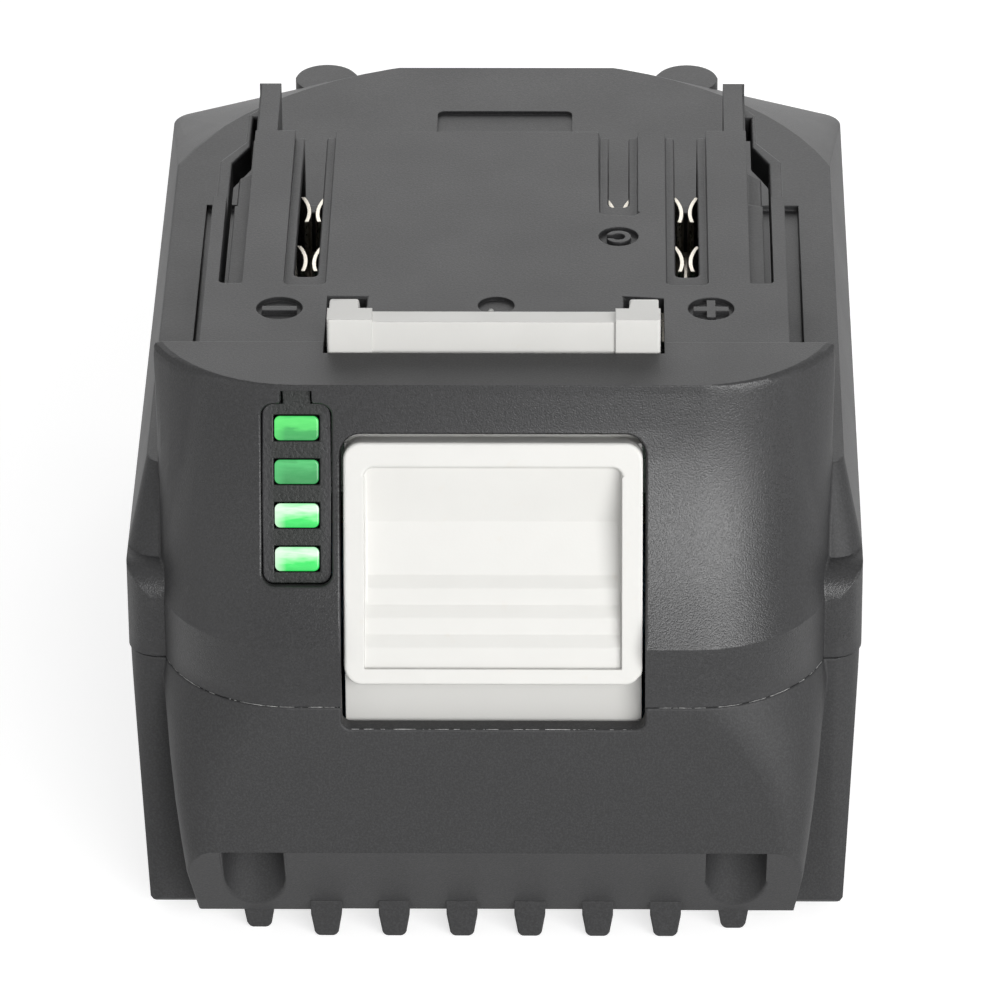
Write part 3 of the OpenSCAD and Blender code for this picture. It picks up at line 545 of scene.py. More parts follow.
class GeometryGraph(Graph):
    """A geometry tree with named inputs that ends in realised instances with a material."""

    def __init__(self, name: str) -> None:
        """Make the tree and its geometry sockets.

        Args:
            name: Name of the tree.
        """
        super().__init__(bpy.data.node_groups.new(name, "GeometryNodeTree"))
        self.ids: dict[str, str] = {}
        for way in ("INPUT", "OUTPUT"):
            self.tree.interface.new_socket("Geometry", in_out=way, socket_type="NodeSocketGeometry")
        self.entry = self.add("NodeGroupInput")

    def size(self, name: str, kind: str = "NodeSocketFloat") -> Socket:
        """Add a named input of some socket type and give out its socket inside the tree."""
        self.ids[name] = self.tree.interface.new_socket(name, in_out="INPUT", socket_type=kind).identifier
        return self.entry.outputs[name]

    def cylinder(self, sides: int, radius: Socket, depth: Socket) -> Socket:
        """Add a closed cylinder round the origin."""
        size = {"Vertices": sides, "Radius": radius, "Depth": depth}
        return self.add("GeometryNodeMeshCylinder", size).outputs["Mesh"]

    def helix(self, steps: int, turns: Socket, radius: Socket, height: Socket) -> Socket:
        """Add a helix that rises from the origin, with a number of steps to a turn."""
        size = {"Rotations": turns, "Start Radius": radius, "End Radius": radius, "Height": height}
        return self.add("GeometryNodeCurveSpiral", {"Resolution": steps, **size}).outputs["Curve"]

    def tube(self, curve: Socket, sides: int, radius: Socket, scale: Socket | None = None) -> Socket:
        """Sweep a ring along a curve.

        Args:
            curve: The curve.
            sides: Corners of the ring.
            radius: Radius of the ring.
            scale: Factor on the radius along the curve.

        Returns:
            The tube with closed ends.
        """
        size = {"Resolution": sides, "Radius": radius}
        ring = self.add("GeometryNodeCurvePrimitiveCircle", size, mode="RADIUS")
        inputs = {"Curve": curve, "Profile Curve": ring.outputs["Curve"], "Fill Caps": True}
        if scale is not None:
            inputs["Scale"] = scale
        return self.add("GeometryNodeCurveToMesh", inputs).outputs["Mesh"]

    def lifted(self, geometry: Socket, height: Socket) -> Socket:
        """Move a geometry up along Z."""
        shift = self.add("ShaderNodeCombineXYZ", {"Z": height}).outputs["Vector"]
        return self.add("GeometryNodeTransform", {0: geometry, "Translation": shift}).outputs["Geometry"]

    def end_on_points(self, instance: Socket) -> None:
        """Put a geometry on each point of the input and finish the tree."""
        inputs = {"Points": self.entry.outputs["Geometry"], "Instance": instance}
        self.end(self.add("GeometryNodeInstanceOnPoints", inputs).outputs["Instances"])

    def end(self, geometry: Socket) -> None:
        """Realise instances, set the material and finish the tree.

        Args:
            geometry: The geometry to give out.
        """
        finish = self.size("Finish", "NodeSocketMaterial")
        real = self.add("GeometryNodeRealizeInstances", {"Geometry": geometry})
        dressed = self.add("GeometryNodeSetMaterial", {0: real.outputs["Geometry"], "Material": finish})
        self.add("NodeGroupOutput", {"Geometry": dressed.outputs["Geometry"]})

    def run(self, seed: Object, name: str, values: dict[str, Any]) -> Object:
        """Evaluate the tree on an object and keep the result as a plain mesh.

        Args:
            seed: Object whose mesh goes in; it is removed.
            name: Name of the new object.
            values: Input values by name.

        Returns:
            An object with a plain mesh and no modifier.
        """
        modifier = seed.modifiers.new("build", "NODES")
        modifier.node_group = self.tree
        for key, value in values.items():
            modifier[self.ids[key]] = value
        bpy.context.view_layer.update()
        graph = bpy.context.evaluated_depsgraph_get()
        shown = seed.evaluated_get(graph)
        mesh = bpy.data.meshes.new_from_object(shown, preserve_all_data_layers=True, depsgraph=graph)
        mesh.name = name
        made = linked(mesh, name)
        bpy.data.objects.remove(seed)
        return made


def linked(data: bpy.types.ID, name: str) -> Object:
    """Put a mesh, a lamp or a camera into the scene.

    Args:
        data: The mesh, lamp or camera.
        name: Name of the object.

    Returns:
        The new object at the origin.
    """
    made = bpy.data.objects.new(name, data)
    bpy.context.scene.collection.objects.link(made)
    return made


def lines_object(lines: Iterable[Sequence[Vector]], name: str) -> Object:
    """Make a mesh of open lines; a line of one point is a bare point.

    Args:
        lines: The points of each line.
        name: Name of the object.

    Returns:
        The new object.
    """
    places: list[tuple[float, ...]] = []
    edges: list[tuple[int, int]] = []
    for line in lines:
        start = len(places)
        places.extend(tuple(p) for p in line)
        edges.extend((i, i + 1) for i in range(start, len(places) - 1))
    mesh = bpy.data.meshes.new(name)
    mesh.from_pydata(places, edges, [])
    return linked(mesh, name)


def smooth(mesh: Mesh, degrees: float) -> None:
    """Shade smooth, with sharp edges above an angle."""
    mesh.polygons.foreach_set("use_smooth", [True] * len(mesh.polygons))
    mesh.set_sharp_from_angle(angle=math.radians(degrees))


@dataclass(frozen=True)
class SoftEdge:
    """A run of edges in one plane with a rounding of its own, none at 0; X limits count from the middle."""

    axis: int
    plane: float
    low: Triple
    high: Triple
    radius: float
    steps: int = 4
    bend: float = 25.0
    slack: float = 0.02 * MM

    def holds(self, point: bmesh.types.BMVert) -> bool:
        """Tell whether a point lies on the run.

        Args:
            point: The point.

        Returns:
            Whether it lies on the run.
        """
        place = (abs(point.co.x), point.co.y, point.co.z)
        inside = all(a <= b <= c for a, b, c in zip(self.low, place, self.high))
        return inside and abs(place[self.axis] - self.plane) < self.slack

    def edges(self, shape: Shape) -> list[bmesh.types.BMEdge]:
        """Find the edges of a shape that bend and lie on the run."""
        bent = (e for e in shape.edges if e.calc_face_angle(0.0) > math.radians(self.bend))
        return [e for e in bent if all(self.holds(v) for v in e.verts)]


@dataclass
class Moulding:
    """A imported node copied, merged and rounded along the edges that have room for it.

    Angles are in degrees.  Stray and reach are shares of the edge's rounding.  A face whose area
    is less than the sliver times its outline is not tested for folds.
    """

    node: str
    edge: float
    steps: int = 2
    angle: float = 28.0
    crease: float = 14.0
    sliver: float = 0.0
    soft: tuple[SoftEdge, ...] = ()
    rounds: int = 40
    merge: float = 0.002 * MM
    flat: float = 0.3
    stray: float = 0.45
    reach: float = 2.0
    least_area: float = 1e-12
    turned: float = -0.1
    near_flat: float = 0.64
    near_round: float = 0.5
    samples: int = 24

    def build(self, frame: dict[str, Any], name: str) -> Object:
        """Build the rounded copy.

        Args:
            frame: The loaded frame.
            name: Name of the new piece.

        Returns:
            The rounded piece.
        """
        plain = bmesh.new()
        plain.from_mesh(frame["nodes"][self.node].data)
        bmesh.ops.remove_doubles(plain, verts=plain.verts, dist=self.merge)
        flat = math.radians(self.flat)
        bmesh.ops.dissolve_limit(plain, angle_limit=flat, verts=plain.verts, edges=plain.edges)
        plain.faces.layers.int.new("round")
        for run in self.soft:
            if run.radius > 0.0:
                self.bevel(plain, run.edges(plain), run.radius, run.steps)
        shape = self.rounded(plain)
        mesh = bpy.data.meshes.new(name)
        normals = self.normals(shape)
        shape.to_mesh(mesh)
        shape.free()
        plain.free()
        for layer in list(mesh.uv_layers):
            mesh.uv_layers.remove(layer)
        mesh.attributes.remove(mesh.attributes["round"])
        mesh.polygons.foreach_set("use_smooth", [True] * len(mesh.polygons))
        mesh.normals_split_custom_set(normals)
        return linked(mesh, name)

    def bevel(self, shape: Shape, edges: list[bmesh.types.BMEdge], radius: float, steps: int) -> None:
        """Round some edges and mark the new faces.

        Args:
            shape: The shape, changed in place.
            edges: The edges to round.
            radius: Width of the rounding on each side.
            steps: Facets across the rounding.
        """
        made = bmesh.ops.bevel(
            shape,
            geom=edges,
            offset=radius,
            offset_type="OFFSET",
            segments=steps,
            profile=0.5,
            affect="EDGES",
            clamp_overlap=False,
        )
        mark = shape.faces.layers.int["round"]
        for face in made["faces"]:
            face[mark] = 1

    def normals(self, shape: Shape) -> list[Vector]:
        """Find a normal for each face corner: flat faces stay flat, roundings blend between them.

        Args:
            shape: The rounded shape.

        Returns:
            The normals in the order of the face corners.
        """
        shape.normal_update()
        shape.faces.index_update()
        mark = shape.faces.layers.int["round"]
        weights = [f.normal * f.calc_area() for f in shape.faces]
        limit = math.cos(math.radians(self.crease))
        found: list[Vector] = []
        for face in shape.faces:
            for loop in face.loops:
                around = loop.vert.link_faces
                flat = [f for f in around if not f[mark]]
                if face[mark]:
                    group = [f for f in flat if f.normal.dot(face.normal) > self.near_flat]
                    curved = (f for f in around if f[mark])
                    group = group or [f for f in curved if f.normal.dot(face.normal) > self.near_round]
                else:
                    group = [f for f in flat if f.normal.dot(face.normal) > limit]
                total = sum((weights[f.index] for f in group), Vector())
                found.append(total.normalized() if total.length > 0.0 else face.normal.copy())
        return found

    def rounded(self, plain: Shape) -> Shape:
        """Round the sharp edges, leaving out those where the rounding would fold.

        Args:
            plain: The merged shape, left as it is.

        Returns:
            The rounded shape.
        """
        plain.normal_update()
        plain.edges.ensure_lookup_table()
        skin = BVHTree.FromBMesh(plain)
        limit = math.radians(self.angle)
        chosen = {e.index for e in plain.edges if len(e.link_faces) == 2 and e.calc_face_angle(0.0) > limit}
        chosen -= {e.index for run in self.soft if run.radius == 0.0 for e in run.edges(plain)}
        wanted = len(chosen)
        for _ in range(self.rounds):
            trial = plain.copy()
            trial.edges.ensure_lookup_table()
            self.bevel(trial, [trial.edges[i] for i in chosen], self.edge, self.steps)
            self.cut(trial)
            bad = self.folds(trial, skin)
            if not bad:
                LOG.info("%s: %d of %d edges rounded", self.node, len(chosen), wanted)
                return trial
            trial.free()
            near = KDTree(len(bad))
            for i, place in enumerate(bad):
                near.insert(place, i)
            near.balance()
            chosen = {i for i in chosen if self.gap(plain.edges[i], near) > self.reach * self.edge}
        LOG.info("%s: left plain", self.node)
        whole = plain.copy()
        self.cut(whole)
        return whole

    def cut(self, shape: Shape) -> None:
        """Cut faces of more than four corners into triangles, in place."""
        bmesh.ops.triangulate(shape, faces=[f for f in shape.faces if len(f.verts) > 4])

    def folds(self, trial: Shape, skin: BVHTree) -> list[Vector]:
        """Find where a rounding left the skin or turned a face over.

        Args:
            trial: The rounded shape.
            skin: The plain shape's faces.

        Returns:
            Places on the skin near each fault.
        """
        trial.normal_update()
        bad: list[Vector] = []
        for point in trial.verts:
            spot, _, _, away = skin.find_nearest(point.co)
            if away > self.stray * self.edge:
                bad.append(spot)
                bad.extend(skin.find_nearest(e.other_vert(point).co)[0] for e in point.link_edges)
        for face in trial.faces:
            if face.calc_area() < max(self.least_area, self.sliver * face.calc_perimeter()):
                continue
            spot, normal, _, _ = skin.find_nearest(self.inside(face))
            if normal.dot(face.normal) < self.turned:
                bad.append(spot)
                bad.extend(v.co.copy() for v in face.verts)
        return bad

    def inside(self, face: bmesh.types.BMFace) -> Vector:
        """Find a point on a face, also where its outline turns inward.

        Args:
            face: The face.

        Returns:
            The middle of the face's largest triangle.
        """
        corners = [v.co for v in face.verts]
        cuts = [[corners[i] for i in cut] for cut in tessellate_polygon([corners])]
        return sum(max(cuts, key=lambda cut: area_tri(*cut)), Vector()) / 3.0

    def gap(self, edge: bmesh.types.BMEdge, near: KDTree) -> float:
        """Distance from an edge to the nearest fault, sampled along it.

        Args:
            edge: The edge.
            near: The faults.

        Returns:
            The distance in metres.
        """
        a, b = (v.co for v in edge.verts)
        count = max(1, min(self.samples, int((b - a).length / self.edge)))
        return min(near.find(a.lerp(b, k / count))[2] for k in range(count + 1))


@dataclass
class Pack:
    """The frame and the finished pieces."""

    frame: dict[str, Any]
    pieces: list[Object] = field(default_factory=list)

    def take(self, piece: Object, body: Body, nodes: Sequence[str] = ()) -> None:
        """Fix a finished piece to its body.

        Args:
            piece: The piece.
            body: The body that it rides on.
            nodes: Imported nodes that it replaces.
        """
        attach(piece, body.value)
        if nodes:
            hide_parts(*nodes)
        self.pieces.append(piece)
        LOG.info("%s rides on %s, %d faces", piece.name, body.value, len(piece.data.polygons))

    def dress(self, node: str, material: Material) -> None:
        """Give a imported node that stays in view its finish.

        Args:
            node: Name of the node.
            material: The finish.
        """
        shown = self.frame["nodes"][node]
        if not shown.material_slots:
            shown.data.materials.append(material)
        for place in shown.material_slots:
            place.material = material
        LOG.info("%s keeps its solid, finish %s", node, material.name)


@dataclass
class Shells:
    """Upper and lower shell, the gate mark and the flash along their seam."""

    seam_z: float = 32.0 * MM
    front: float = -56.5 * MM
    half: float = 34.6 * MM
    corner: float = 14.0 * MM
    window: float = 15.5 * MM
    notch_z: float = 29.4 * MM
    edge: float = 0.28 * MM
    lower_rough: float = 0.58
    lower_sliver: float = 0.005 * MM
    soft: tuple[SoftEdge, ...] = (
        SoftEdge(1, -37.1 * MM, (33 * MM, -38 * MM, 49.9 * MM), (36 * MM, -36 * MM, 63.5 * MM), 0.9 * MM),
        SoftEdge(2, 39.0 * MM, (15.4 * MM, -57 * MM, 38 * MM), (35 * MM, -45 * MM, 40 * MM), 0.0),
        SoftEdge(2, 64.0 * MM, (0.0, -57 * MM, 63 * MM), (35 * MM, -38 * MM, 65 * MM), 0.0),
    )
    stub: Triple = (-0.4 * MM, -29.7 * MM, 63.4 * MM)
    stub_foot: float = 0.42 * MM
    stub_tip: float = 0.26 * MM
    stub_height: float = 0.5 * MM
    stub_tear: float = 0.05 * MM
    flash_sink: float = 0.06 * MM
    flash_rise: float = 0.04 * MM
    notch_rise: float = 0.02 * MM
    flash_points: int = 420
    flash_radius: float = 0.055 * MM
    flash_grain: float = 0.9 * MM
    flash_least: float = 0.47
    flash_most: float = 0.72
    flash_seed: float = 7.0

    def build(self, pack: Pack) -> None:
        """Build and dress both shells.

        Args:
            pack: Takes the finished pieces.
        """
        upper = ShellPlastic("upper_shell_grain").material()
        lower = ShellPlastic("lower_shell_grain", rough=self.lower_rough, has_nose=False).material()
        for node, material, sliver in (("upper_case", upper, 0.0), ("lower_case", lower, self.lower_sliver)):
            form = Moulding(node, self.edge, sliver=sliver, soft=self.soft)
            piece = form.build(pack.frame, node + "_shell")
            piece.data.materials.append(material)
            pack.take(piece, Body.CASE, [node])
        pack.take(self.gate_mark(), Body.CASE)
        pack.take(self.flash(), Body.CASE)

    def gate_mark(self) -> Object:
        """Build the torn stub left where the mould was filled.

        Returns:
            The stub.
        """
        shape = bmesh.new()
        size = {"radius1": self.stub_foot, "radius2": self.stub_tip, "depth": self.stub_height}
        bmesh.ops.create_cone(shape, cap_ends=True, segments=10, **size)
        for i, point in enumerate(shape.verts):
            tear = Vector((math.sin(2.3 * i), math.cos(3.1 * i), 1.2 * math.sin(1.7 * i)))
            point.co += self.stub_tear * tear
        bmesh.ops.translate(shape, vec=Vector(self.stub), verts=shape.verts)
        mesh = bpy.data.meshes.new("gate_mark")
        shape.to_mesh(mesh)
        shape.free()
        pale = Mottled("gate_stub", (0.30, 0.30, 0.29), (0.55, 0.55, 0.53), 0.35, 0.3 * MM)
        mesh.materials.append(pale.material())
        return linked(mesh, "gate_mark")

    def seam_lines(self) -> list[list[Vector]]:
        """Lines along the seam on both sides of the latch and along the notch under it.

        Returns:
            The left, lower and right line.
        """
        front = self.front + self.flash_sink
        centre = self.front + self.corner
        inner = self.half - self.corner
        reach = self.corner - self.flash_sink
        arc = [math.radians(20 + 70 * k / 12) for k in range(13)]
        high = self.seam_z + self.flash_rise
        right = [Vector((inner + reach * math.cos(a), centre - reach * math.sin(a), high)) for a in arc]
        right.append(Vector((self.window, front, high)))
        left = [Vector((-p.x, p.y, p.z)) for p in right]
        low = self.notch_z + self.notch_rise
        side = self.window - MM
        return [left, [Vector((-side, front, low)), Vector((side, front, low))], right]

    def flash(self) -> Object:
        """Build the thin pale flash left along the seam, broken where the noise is low.

        Returns:
            All shreds as one piece.
        """
        g = GeometryGraph("seam_flash")
        count, radius = g.size("Count", "NodeSocketInt"), g.size("Shred radius")
        low, seed = g.size("Least noise"), g.size("Seed")
        path = g.add("GeometryNodeMeshToCurve", {"Mesh": g.entry.outputs["Geometry"]}).outputs["Curve"]
        fine = g.add("GeometryNodeResampleCurve", {"Curve": path, "Count": count}).outputs["Curve"]
        line = g.add("GeometryNodeCurveToMesh", {"Curve": fine}).outputs["Mesh"]
        place = g.add("GeometryNodeInputPosition").outputs["Position"]
        noise = g.add(
            "ShaderNodeTexNoise",
            {"Vector": place, "W": seed, "Scale": 1.0 / self.flash_grain, "Detail": 3.0, "Roughness": 0.65},
            noise_dimensions="4D",
        ).outputs["Fac"]
        absent = g.add("FunctionNodeCompare", {"A": noise, "B": low}, operation="LESS_THAN").outputs["Result"]
        kept = g.add("GeometryNodeDeleteGeometry", {0: line, "Selection": absent}).outputs["Geometry"]
        shreds = g.add("GeometryNodeMeshToCurve", {"Mesh": kept}).outputs["Curve"]
        g.end(g.tube(shreds, 5, radius, g.span(noise, low, self.flash_most, 0.3, 1.0)))
        pale = Mottled("seam_flash_pale", (0.16, 0.16, 0.16), (0.46, 0.46, 0.45), 0.5, 0.5 * MM)
        values = {
            "Count": self.flash_points,
            "Shred radius": self.flash_radius,
            "Least noise": self.flash_least,
            "Seed": self.flash_seed,
            "Finish": pale.material(),
        }
        return g.run(lines_object(self.seam_lines(), "seam_lines"), "seam_flash", values)


@dataclass
class Latch:
    """White latch moulding and the two coils under it."""

    edge: float = 0.32 * MM
    coil_radius: float = 2.4 * MM
    wire: float = 0.4 * MM
    turns: float = 5.0
    seat: float = 11.0 * MM
    foot: float = 22.5 * MM
    clearance: float = 0.05 * MM
    coil_places: tuple[tuple[float, float], ...] = ((-9.12 * MM, -47.5 * MM), (9.12 * MM, -47.5 * MM))
    travel: float = 5.0 * MM

    def build(self, pack: Pack) -> None:
        """Build and dress the latch.

        Args:
            pack: Takes the finished pieces.
        """
        form = Moulding("release_latch", self.edge, steps=3, crease=9.0)
        piece = form.build(pack.frame, "latch_moulding")
        piece.data.materials.append(SatinWhite("latch_satin").material())
        pack.take(piece, Body.LATCH, ["release_latch"])
        coils = self.coils()
        pack.take(coils, Body.CASE, ["latch_springs"])
        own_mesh(coils)

    def coils(self) -> Object:
        """Build both coils from a helix swept with the wire's circle.

        Returns:
            Both coils as one piece.
        """
        g = GeometryGraph("latch_coils")
        end = self.wire + self.clearance
        sizes = {
            "Coil radius": self.coil_radius,
            "Wire radius": self.wire,
            "Turns": self.turns,
            "Height": self.foot - self.seat - 2 * end,
        }
        radius, wire, turns, height = map(g.size, sizes)
        g.end_on_points(g.tube(g.helix(28, turns, radius, height), 10, wire))
        steel = PlatedMetal("spring_wire", (0.62, 0.62, 0.64), 0.30, (1.0, 1.0, 0.3)).material()
        seed = lines_object([[Vector((x, y, self.seat + end))] for x, y in self.coil_places], "coil_places")
        made = g.run(seed, "latch_coils", {**sizes, "Finish": steel})
        smooth(made.data, 50.0)
        return made


@dataclass
class Gauge:
    """Battery-shaped key with four light bars."""

    key_edge: float = 0.16 * MM
    bar_edge: float = 0.22 * MM
    pitch_z: float = 4.22 * MM
    width: float = 4.54 * MM
    height: float = 2.54 * MM
    up: Triple = (0.0, 0.3479, 0.9375)
    middle: Triple = (-19.95 * MM, -49.68 * MM, 53.1 * MM)
    bright_below: float = 1.5 * MM
    rim_depth: float = 2.2 * MM
    rim_more: float = 0.13 * MM
    rim_across: float = 2.4 * MM
    rim_up: float = 8.2 * MM
    rim_blend: float = 0.8 * MM
    nub: float = 9.3 * MM

    def build(self, pack: Pack) -> None:
        """Build and dress the key and its bars.

        Args:
            pack: Takes the finished pieces.
        """
        key = Moulding("gauge_key", self.key_edge).build(pack.frame, "gauge_panel")
        self.spread(key.data)
        key.data.materials.append(PanelGloss("panel_gloss").material())
        pack.take(key, Body.GAUGE, ["gauge_key"])
        bars = Moulding("light_bars", self.bar_edge, steps=3).build(pack.frame, "gauge_bars")
        for light in Light:
            bars.data.materials.append(LitLens("bar_" + light.name.lower(), light).material())
        flank = Mottled("bar_flank", (0.004, 0.030, 0.010), (0.008, 0.050, 0.016), 0.35, 0.3 * MM)
        bars.data.materials.append(flank.material())
        self.map_bars(bars.data)
        pack.take(bars, Body.GAUGE, ["light_bars"])

    def spread(self, mesh: Mesh) -> None:
        """Push the rim of the key's face out, so that a thin line is left round it.

        Args:
            mesh: Mesh of the key.
        """
        up = Vector(self.up)
        inward = Vector((0.0, up.z, -up.y))
        right = Vector((1.0, 0.0, 0.0))
        middle = Vector(self.middle)
        for point in mesh.vertices:
            place = point.co - middle
            if place.dot(inward) > self.rim_depth:
                continue
            rise = place.dot(up)
            for axis, along, start in ((right, place.x, self.rim_across), (up, rise, self.rim_up)):
                share = min(1.0, max(0.0, (abs(along) - start) / self.rim_blend))
                point.co += axis * math.copysign(self.rim_more * share, along)
            if rise > self.nub:
                point.co.x += math.copysign(self.rim_more, place.x)

    def light(self, height: float) -> Light:
        """Tell how strongly the bar at a height is lit.

        Args:
            height: Height of the bar's middle.

        Returns:
            Its strength of light.
        """
        if height < self.middle[2] - self.bright_below:
            return Light.BRIGHT
        return Light.MIDDLE if height > self.middle[2] + self.pitch_z else Light.DIM

    def groups(self, shape: Shape) -> list[set[bmesh.types.BMFace]]:
        """Sort faces into those that hang together.

        Args:
            shape: The shape.

        Returns:
            The faces of each bar.
        """
        found: list[set[bmesh.types.BMFace]] = []
        left = set(shape.faces)
        while left:
            group = {left.pop()}
            rim = list(group)
            while rim:
                near = {f for line in rim.pop().edges for f in line.link_faces} & left
                left -= near
                group |= near
                rim.extend(near)
            found.append(group)
        return found

    def map_bars(self, mesh: Mesh) -> None:
        """Give each bar a map from 0 to 1 across and up, and its strength of light.

        Args:
            mesh: Mesh of the four bars.
        """
        up = Vector(self.up)
        front = Vector((0.0, -up.z, up.y))
        shape = bmesh.new()
        shape.from_mesh(mesh)
        layer = shape.loops.layers.uv.new("bar")
        for group in self.groups(shape):
            points = {v for f in group for v in f.verts}
            middle = sum((v.co for v in points), Vector()) / len(points)
            for face in group:
                is_front = face.normal.dot(front) > 0.5
                face.material_index = self.light(middle.z).value if is_front else len(Light)
                for loop in face.loops:
                    place = loop.vert.co - middle
                    loop[layer].uv = (place.x / self.width + 0.5, place.dot(up) / self.height + 0.5)
        shape.to_mesh(mesh)
        shape.free()


@dataclass
class Screws:
    """Four case screws with threaded shanks and hexagon sockets."""

    places: tuple[tuple[float, float], ...] = (
        (-25.0 * MM, -52.7 * MM),
        (25.0 * MM, -52.7 * MM),
        (-20.4 * MM, 52.8 * MM),
        (20.4 * MM, 52.8 * MM),
    )
    seat: float = 22.0 * MM
    head_radius: float = 2.6 * MM
    head_height: float = 2.4 * MM
    core_radius: float = 1.16 * MM
    thread_radius: float = 1.43 * MM
    length: float = 15.8 * MM
    pitch: float = 1.1 * MM
    socket_radius: float = 1.1 * MM
    socket_depth: float = 1.2 * MM

    def build(self, pack: Pack) -> None:
        """Build all screws by one tree.

        Args:
            pack: Takes the finished piece.
        """
        g = GeometryGraph("case_screws")
        sizes = {
            "Head radius": self.head_radius,
            "Head height": self.head_height,
            "Core radius": self.core_radius,
            "Thread radius": self.thread_radius,
            "Length": self.length,
            "Pitch": self.pitch,
            "Socket radius": self.socket_radius,
            "Socket depth": self.socket_depth,
        }
        head_r, head_h, core_r, thread_r, length, pitch, socket_r, socket_d = map(g.size, sizes)
        down = g.maths("MULTIPLY", head_h, -0.5)
        hexagon = g.lifted(g.cylinder(6, socket_r, g.maths("MULTIPLY", socket_d, 2.0)), down)
        head = {"Mesh 1": g.cylinder(40, head_r, head_h), "Mesh 2": hexagon}
        head = g.add("GeometryNodeMeshBoolean", head, operation="DIFFERENCE").outputs["Mesh"]
        core = g.lifted(g.cylinder(24, core_r, length), g.maths("MULTIPLY", length, 0.5))
        run = g.maths("SUBTRACT", length, g.maths("MULTIPLY", pitch, 2.0))
        line = g.helix(20, g.maths("DIVIDE", run, pitch), core_r, run)
        thread = g.tube(line, 4, g.maths("SUBTRACT", thread_r, core_r))
        join = g.add("GeometryNodeJoinGeometry")
        for part in (g.lifted(head, down), core, g.lifted(thread, pitch)):
            g.tree.links.new(part, join.inputs["Geometry"])
        g.end_on_points(join.outputs["Geometry"])
        steel = PlatedMetal("screw_blackened", (0.25, 0.25, 0.27), 0.38, (1.0, 1.0, 0.4)).material()
        seed = lines_object([[Vector((x, y, self.seat))] for x, y in self.places], "screw_places")
        piece = g.run(seed, "case_screw_set", {**sizes, "Finish": steel})
        smooth(piece.data, 35.0)
        pack.take(piece, Body.CASE, ["case_screws"])


@dataclass
class Contacts:
    """Sprung nickel contacts in the slots."""

    names: tuple[str, ...] = ("terminal_negative", "terminal_positive", "terminal_signal")
    edge: float = 0.08 * MM

    def build(self, pack: Pack) -> None:
        """Build and dress the contacts.

        Args:
            pack: Takes the finished pieces.
        """
        nickel = PlatedMetal("contact_plating", (0.52, 0.49, 0.43), 0.30, (1.0, 1.0, 0.3)).material()
        for node in self.names:
            piece = Moulding(node, self.edge).build(pack.frame, node + "_leaves")
            piece.data.materials.append(nickel)
            pack.take(piece, Body.CASE, [node])


@dataclass
class Interior:
    """What lies inside the shells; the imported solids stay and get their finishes."""

    cells: int = 10
    straps: int = 3
    moulded: tuple[str, ...] = ("controller_chip", "power_transistors", "check_switch", "sense_resistor")

    def build(self, pack: Pack) -> None:
        """Dress every inner node.

        Args:
            pack: Holds the frame.
        """
        cells = [f"cell_{i + 1}" for i in range(self.cells)]
        straps = [f"strap_{side}_{i + 1}" for side in ("left", "right") for i in range(self.straps)]
        for finish, nodes in (
            (
                Mottled("solder_mask", (0.015, 0.16, 0.06), (0.035, 0.26, 0.11), 0.32, 0.9 * MM),
                ("gauge_board", "main_board"),
            ),
            (
                Mottled("part_moulded", (0.025, 0.025, 0.027), (0.05, 0.05, 0.053), 0.5, 0.4 * MM),
                self.moulded,
            ),
            (
                Mottled("cell_sleeve", (0.06, 0.24, 0.38), (0.10, 0.32, 0.47), 0.28, 3.0 * MM, 0.03 * MM),
                cells,
            ),
            (PlatedMetal("strap_nickel", (0.70, 0.69, 0.66), 0.30, (1.0, 0.3, 1.0)), straps),
            (
                Mottled("holder_grey", (0.26, 0.26, 0.28), (0.33, 0.33, 0.35), 0.5, 2.0 * MM),
                ("cell_holder_left", "cell_holder_right"),
            ),
            (Mottled("led_body", (0.75, 0.75, 0.60), (0.88, 0.88, 0.76), 0.4, 0.5 * MM), ("gauge_leds",)),
            (Mottled("cable_grey", (0.52, 0.52, 0.50), (0.64, 0.64, 0.62), 0.5, 0.6 * MM), ("gauge_cable",)),
            (Mottled("fuse_cream", (0.74, 0.70, 0.60), (0.84, 0.81, 0.73), 0.45, 0.6 * MM), ("main_fuse",)),
            (
                Mottled("block_grey", (0.035, 0.035, 0.037), (0.06, 0.06, 0.063), 0.55, 0.8 * MM),
                ("terminal_block",),
            ),
            (
                Mottled("sheet_paper", (0.44, 0.49, 0.36), (0.56, 0.60, 0.47), 0.8, 0.4 * MM, 0.05 * MM),
                ("insulation_sheet",),
            ),
            (
                Mottled("pad_foam", (0.08, 0.08, 0.085), (0.15, 0.15, 0.155), 0.9, 0.3 * MM, 0.12 * MM),
                ("base_pad",),
            ),
        ):
            material = finish.material()
            for node in nodes:
                pack.dress(node, material)


@dataclass(frozen=True)
class SoftBox:
    """A rectangular lamp: where it hangs and points, its face, and its power in watts."""

    name: str
    place: Triple
    target: Triple
    size: tuple[float, float]
    power: float

    def hang(self) -> None:
        """Put the lamp into the scene."""
        data = bpy.data.lights.new(self.name, "AREA")
        data.shape = "RECTANGLE"
        data.size, data.size_y = self.size
        data.energy = self.power
        lamp = linked(data, self.name)
        lamp.location = self.place
        ahead = Vector(self.target) - Vector(self.place)
        lamp.rotation_euler = ahead.to_track_quat("-Z", "Y").to_euler()


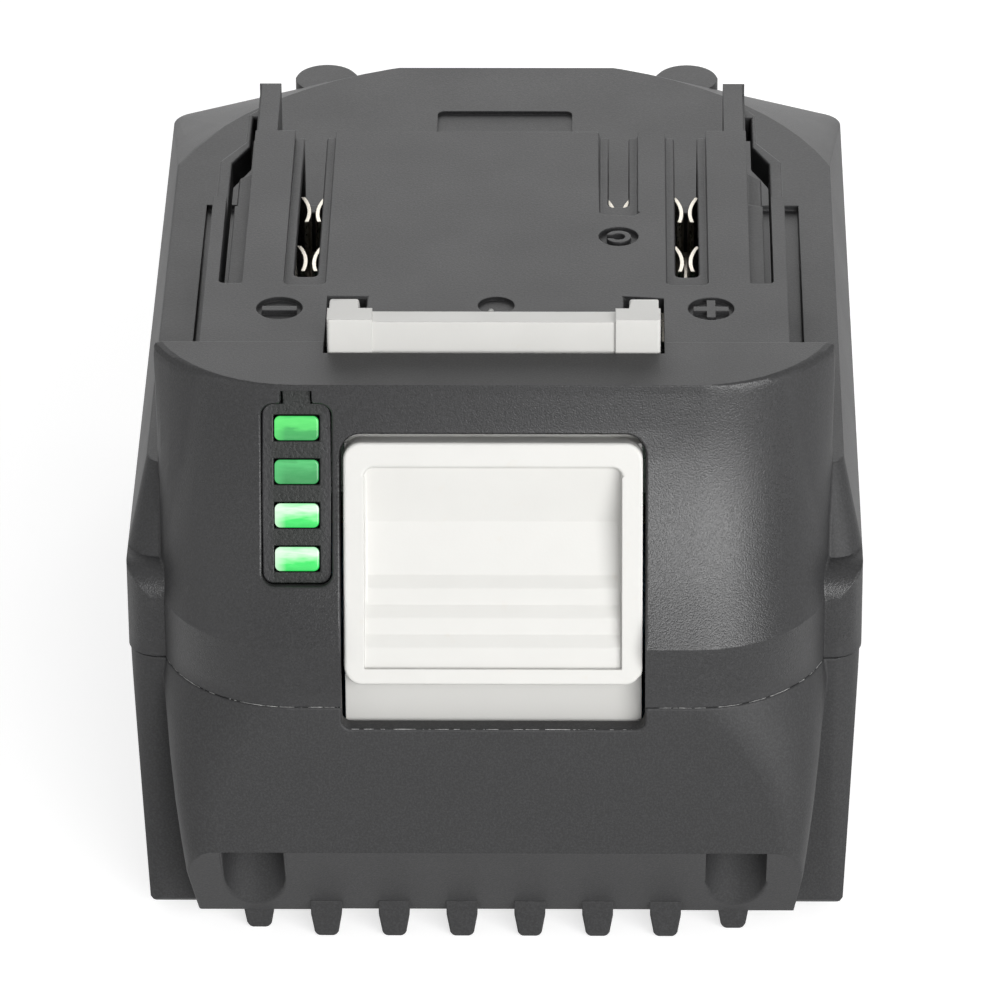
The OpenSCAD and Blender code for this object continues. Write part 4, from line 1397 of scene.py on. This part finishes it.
@dataclass
class Studio:
    """Pale floor, soft lamps and the camera."""

    elevation: float = 30.1943
    yaw: float = -1.0065
    roll: float = -0.3947
    lens: float = 276.283
    sensor: float = 36.0
    place: Triple = (12.545 * MM, -722.704 * MM, 444.304 * MM)
    view_end: float = 20.0
    floor_half: float = 6.0
    floor_tone: tuple[float, float] = (0.49, 0.51)
    floor_grain: float = 0.3
    floor_rough: float = 0.9
    floor_glow: float = 0.72
    room: float = 0.30
    lamps: tuple[SoftBox, ...] = (
        SoftBox("back_wall", (0.0, 1.0, 0.55), (0.0, 0.0, 0.04), (1.1, 1.0), 5.9),
        SoftBox("left_front", (-1.0, -0.55, 0.35), (0.0, 0.0, 0.04), (1.2, 0.8), 1.4),
        SoftBox("right_box", (0.45, -0.84, 0.33), (0.015, -0.05, 0.047), (0.82, 0.60), 12.0),
    )

    def build(self) -> None:
        """Build the floor, the lamps and the camera."""
        self.camera()
        self.floor()
        self.world()
        for lamp in self.lamps:
            lamp.hang()

    def camera(self) -> None:
        """Place the camera at the photograph's viewing angle."""
        e, yaw, roll = (math.radians(a) for a in (self.elevation, self.yaw, self.roll))
        ahead = Vector((math.sin(yaw) * math.cos(e), math.cos(yaw) * math.cos(e), -math.sin(e)))
        right = Vector((math.cos(yaw), -math.sin(yaw), 0.0))
        up = right.cross(ahead)
        side = right * math.cos(roll) + up * math.sin(roll)
        top = up * math.cos(roll) - right * math.sin(roll)
        data = bpy.data.cameras.new("camera")
        data.lens = self.lens
        data.sensor_width = self.sensor
        data.clip_end = self.view_end
        camera = linked(data, "camera")
        turn = Matrix((side, top, -ahead)).transposed().to_4x4()
        camera.matrix_world = Matrix.Translation(Vector(self.place)) @ turn
        bpy.context.scene.camera = camera

    def floor(self) -> None:
        """Lay a wide pale floor under the pack; it is white where it is seen."""
        r = self.floor_half
        mesh = bpy.data.meshes.new("floor")
        mesh.from_pydata([(-r, -r, 0), (r, -r, 0), (r, r, 0), (-r, r, 0)], [], [(0, 1, 2, 3)])
        g = ShaderGraph("floor_white")
        darker, lighter = ((tone, tone, tone) for tone in self.floor_tone)
        g.set(
            Base_Color=g.tint(g.noise(self.floor_grain, 2.0), darker, lighter),
            Roughness=self.floor_rough,
            Emission_Color=(1.0, 1.0, 1.0),
            Emission_Strength=g.maths("MULTIPLY", g.seen(), self.floor_glow),
        )
        mesh.materials.append(g.material)
        linked(mesh, "floor")

    def world(self) -> None:
        """Fill the room with plain white light; it is pure white where it is seen."""
        world = bpy.data.worlds.new("studio")
        world.use_nodes = True
        bpy.context.scene.world = world
        g = Graph(world.node_tree)
        g.tree.nodes.clear()
        white = (1.0, 1.0, 1.0, 1.0)
        light, shown = (
            g.add("ShaderNodeBackground", {"Color": white, "Strength": strength}).outputs["Background"]
            for strength in (self.room, 1.0)
        )
        mixed = g.add("ShaderNodeMixShader", {0: g.seen(), 1: light, 2: shown})
        g.add("ShaderNodeOutputWorld", {"Surface": mixed.outputs["Shader"]})


def main() -> None:
    """Load the frame, build every sub-assembly and log how many pieces were built."""
    logging.basicConfig(level=logging.INFO, format="%(name)s: %(message)s")
    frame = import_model()
    bpy.context.scene.view_settings.view_transform = "Standard"
    Studio().build()
    pack = Pack(frame)
    Shells().build(pack)
    Latch().build(pack)
    Gauge().build(pack)
    Contacts().build(pack)
    Screws().build(pack)
    Interior().build(pack)
    LOG.info("%d pieces built", len(pack.pieces))


if __name__ == "__main__":
    main()
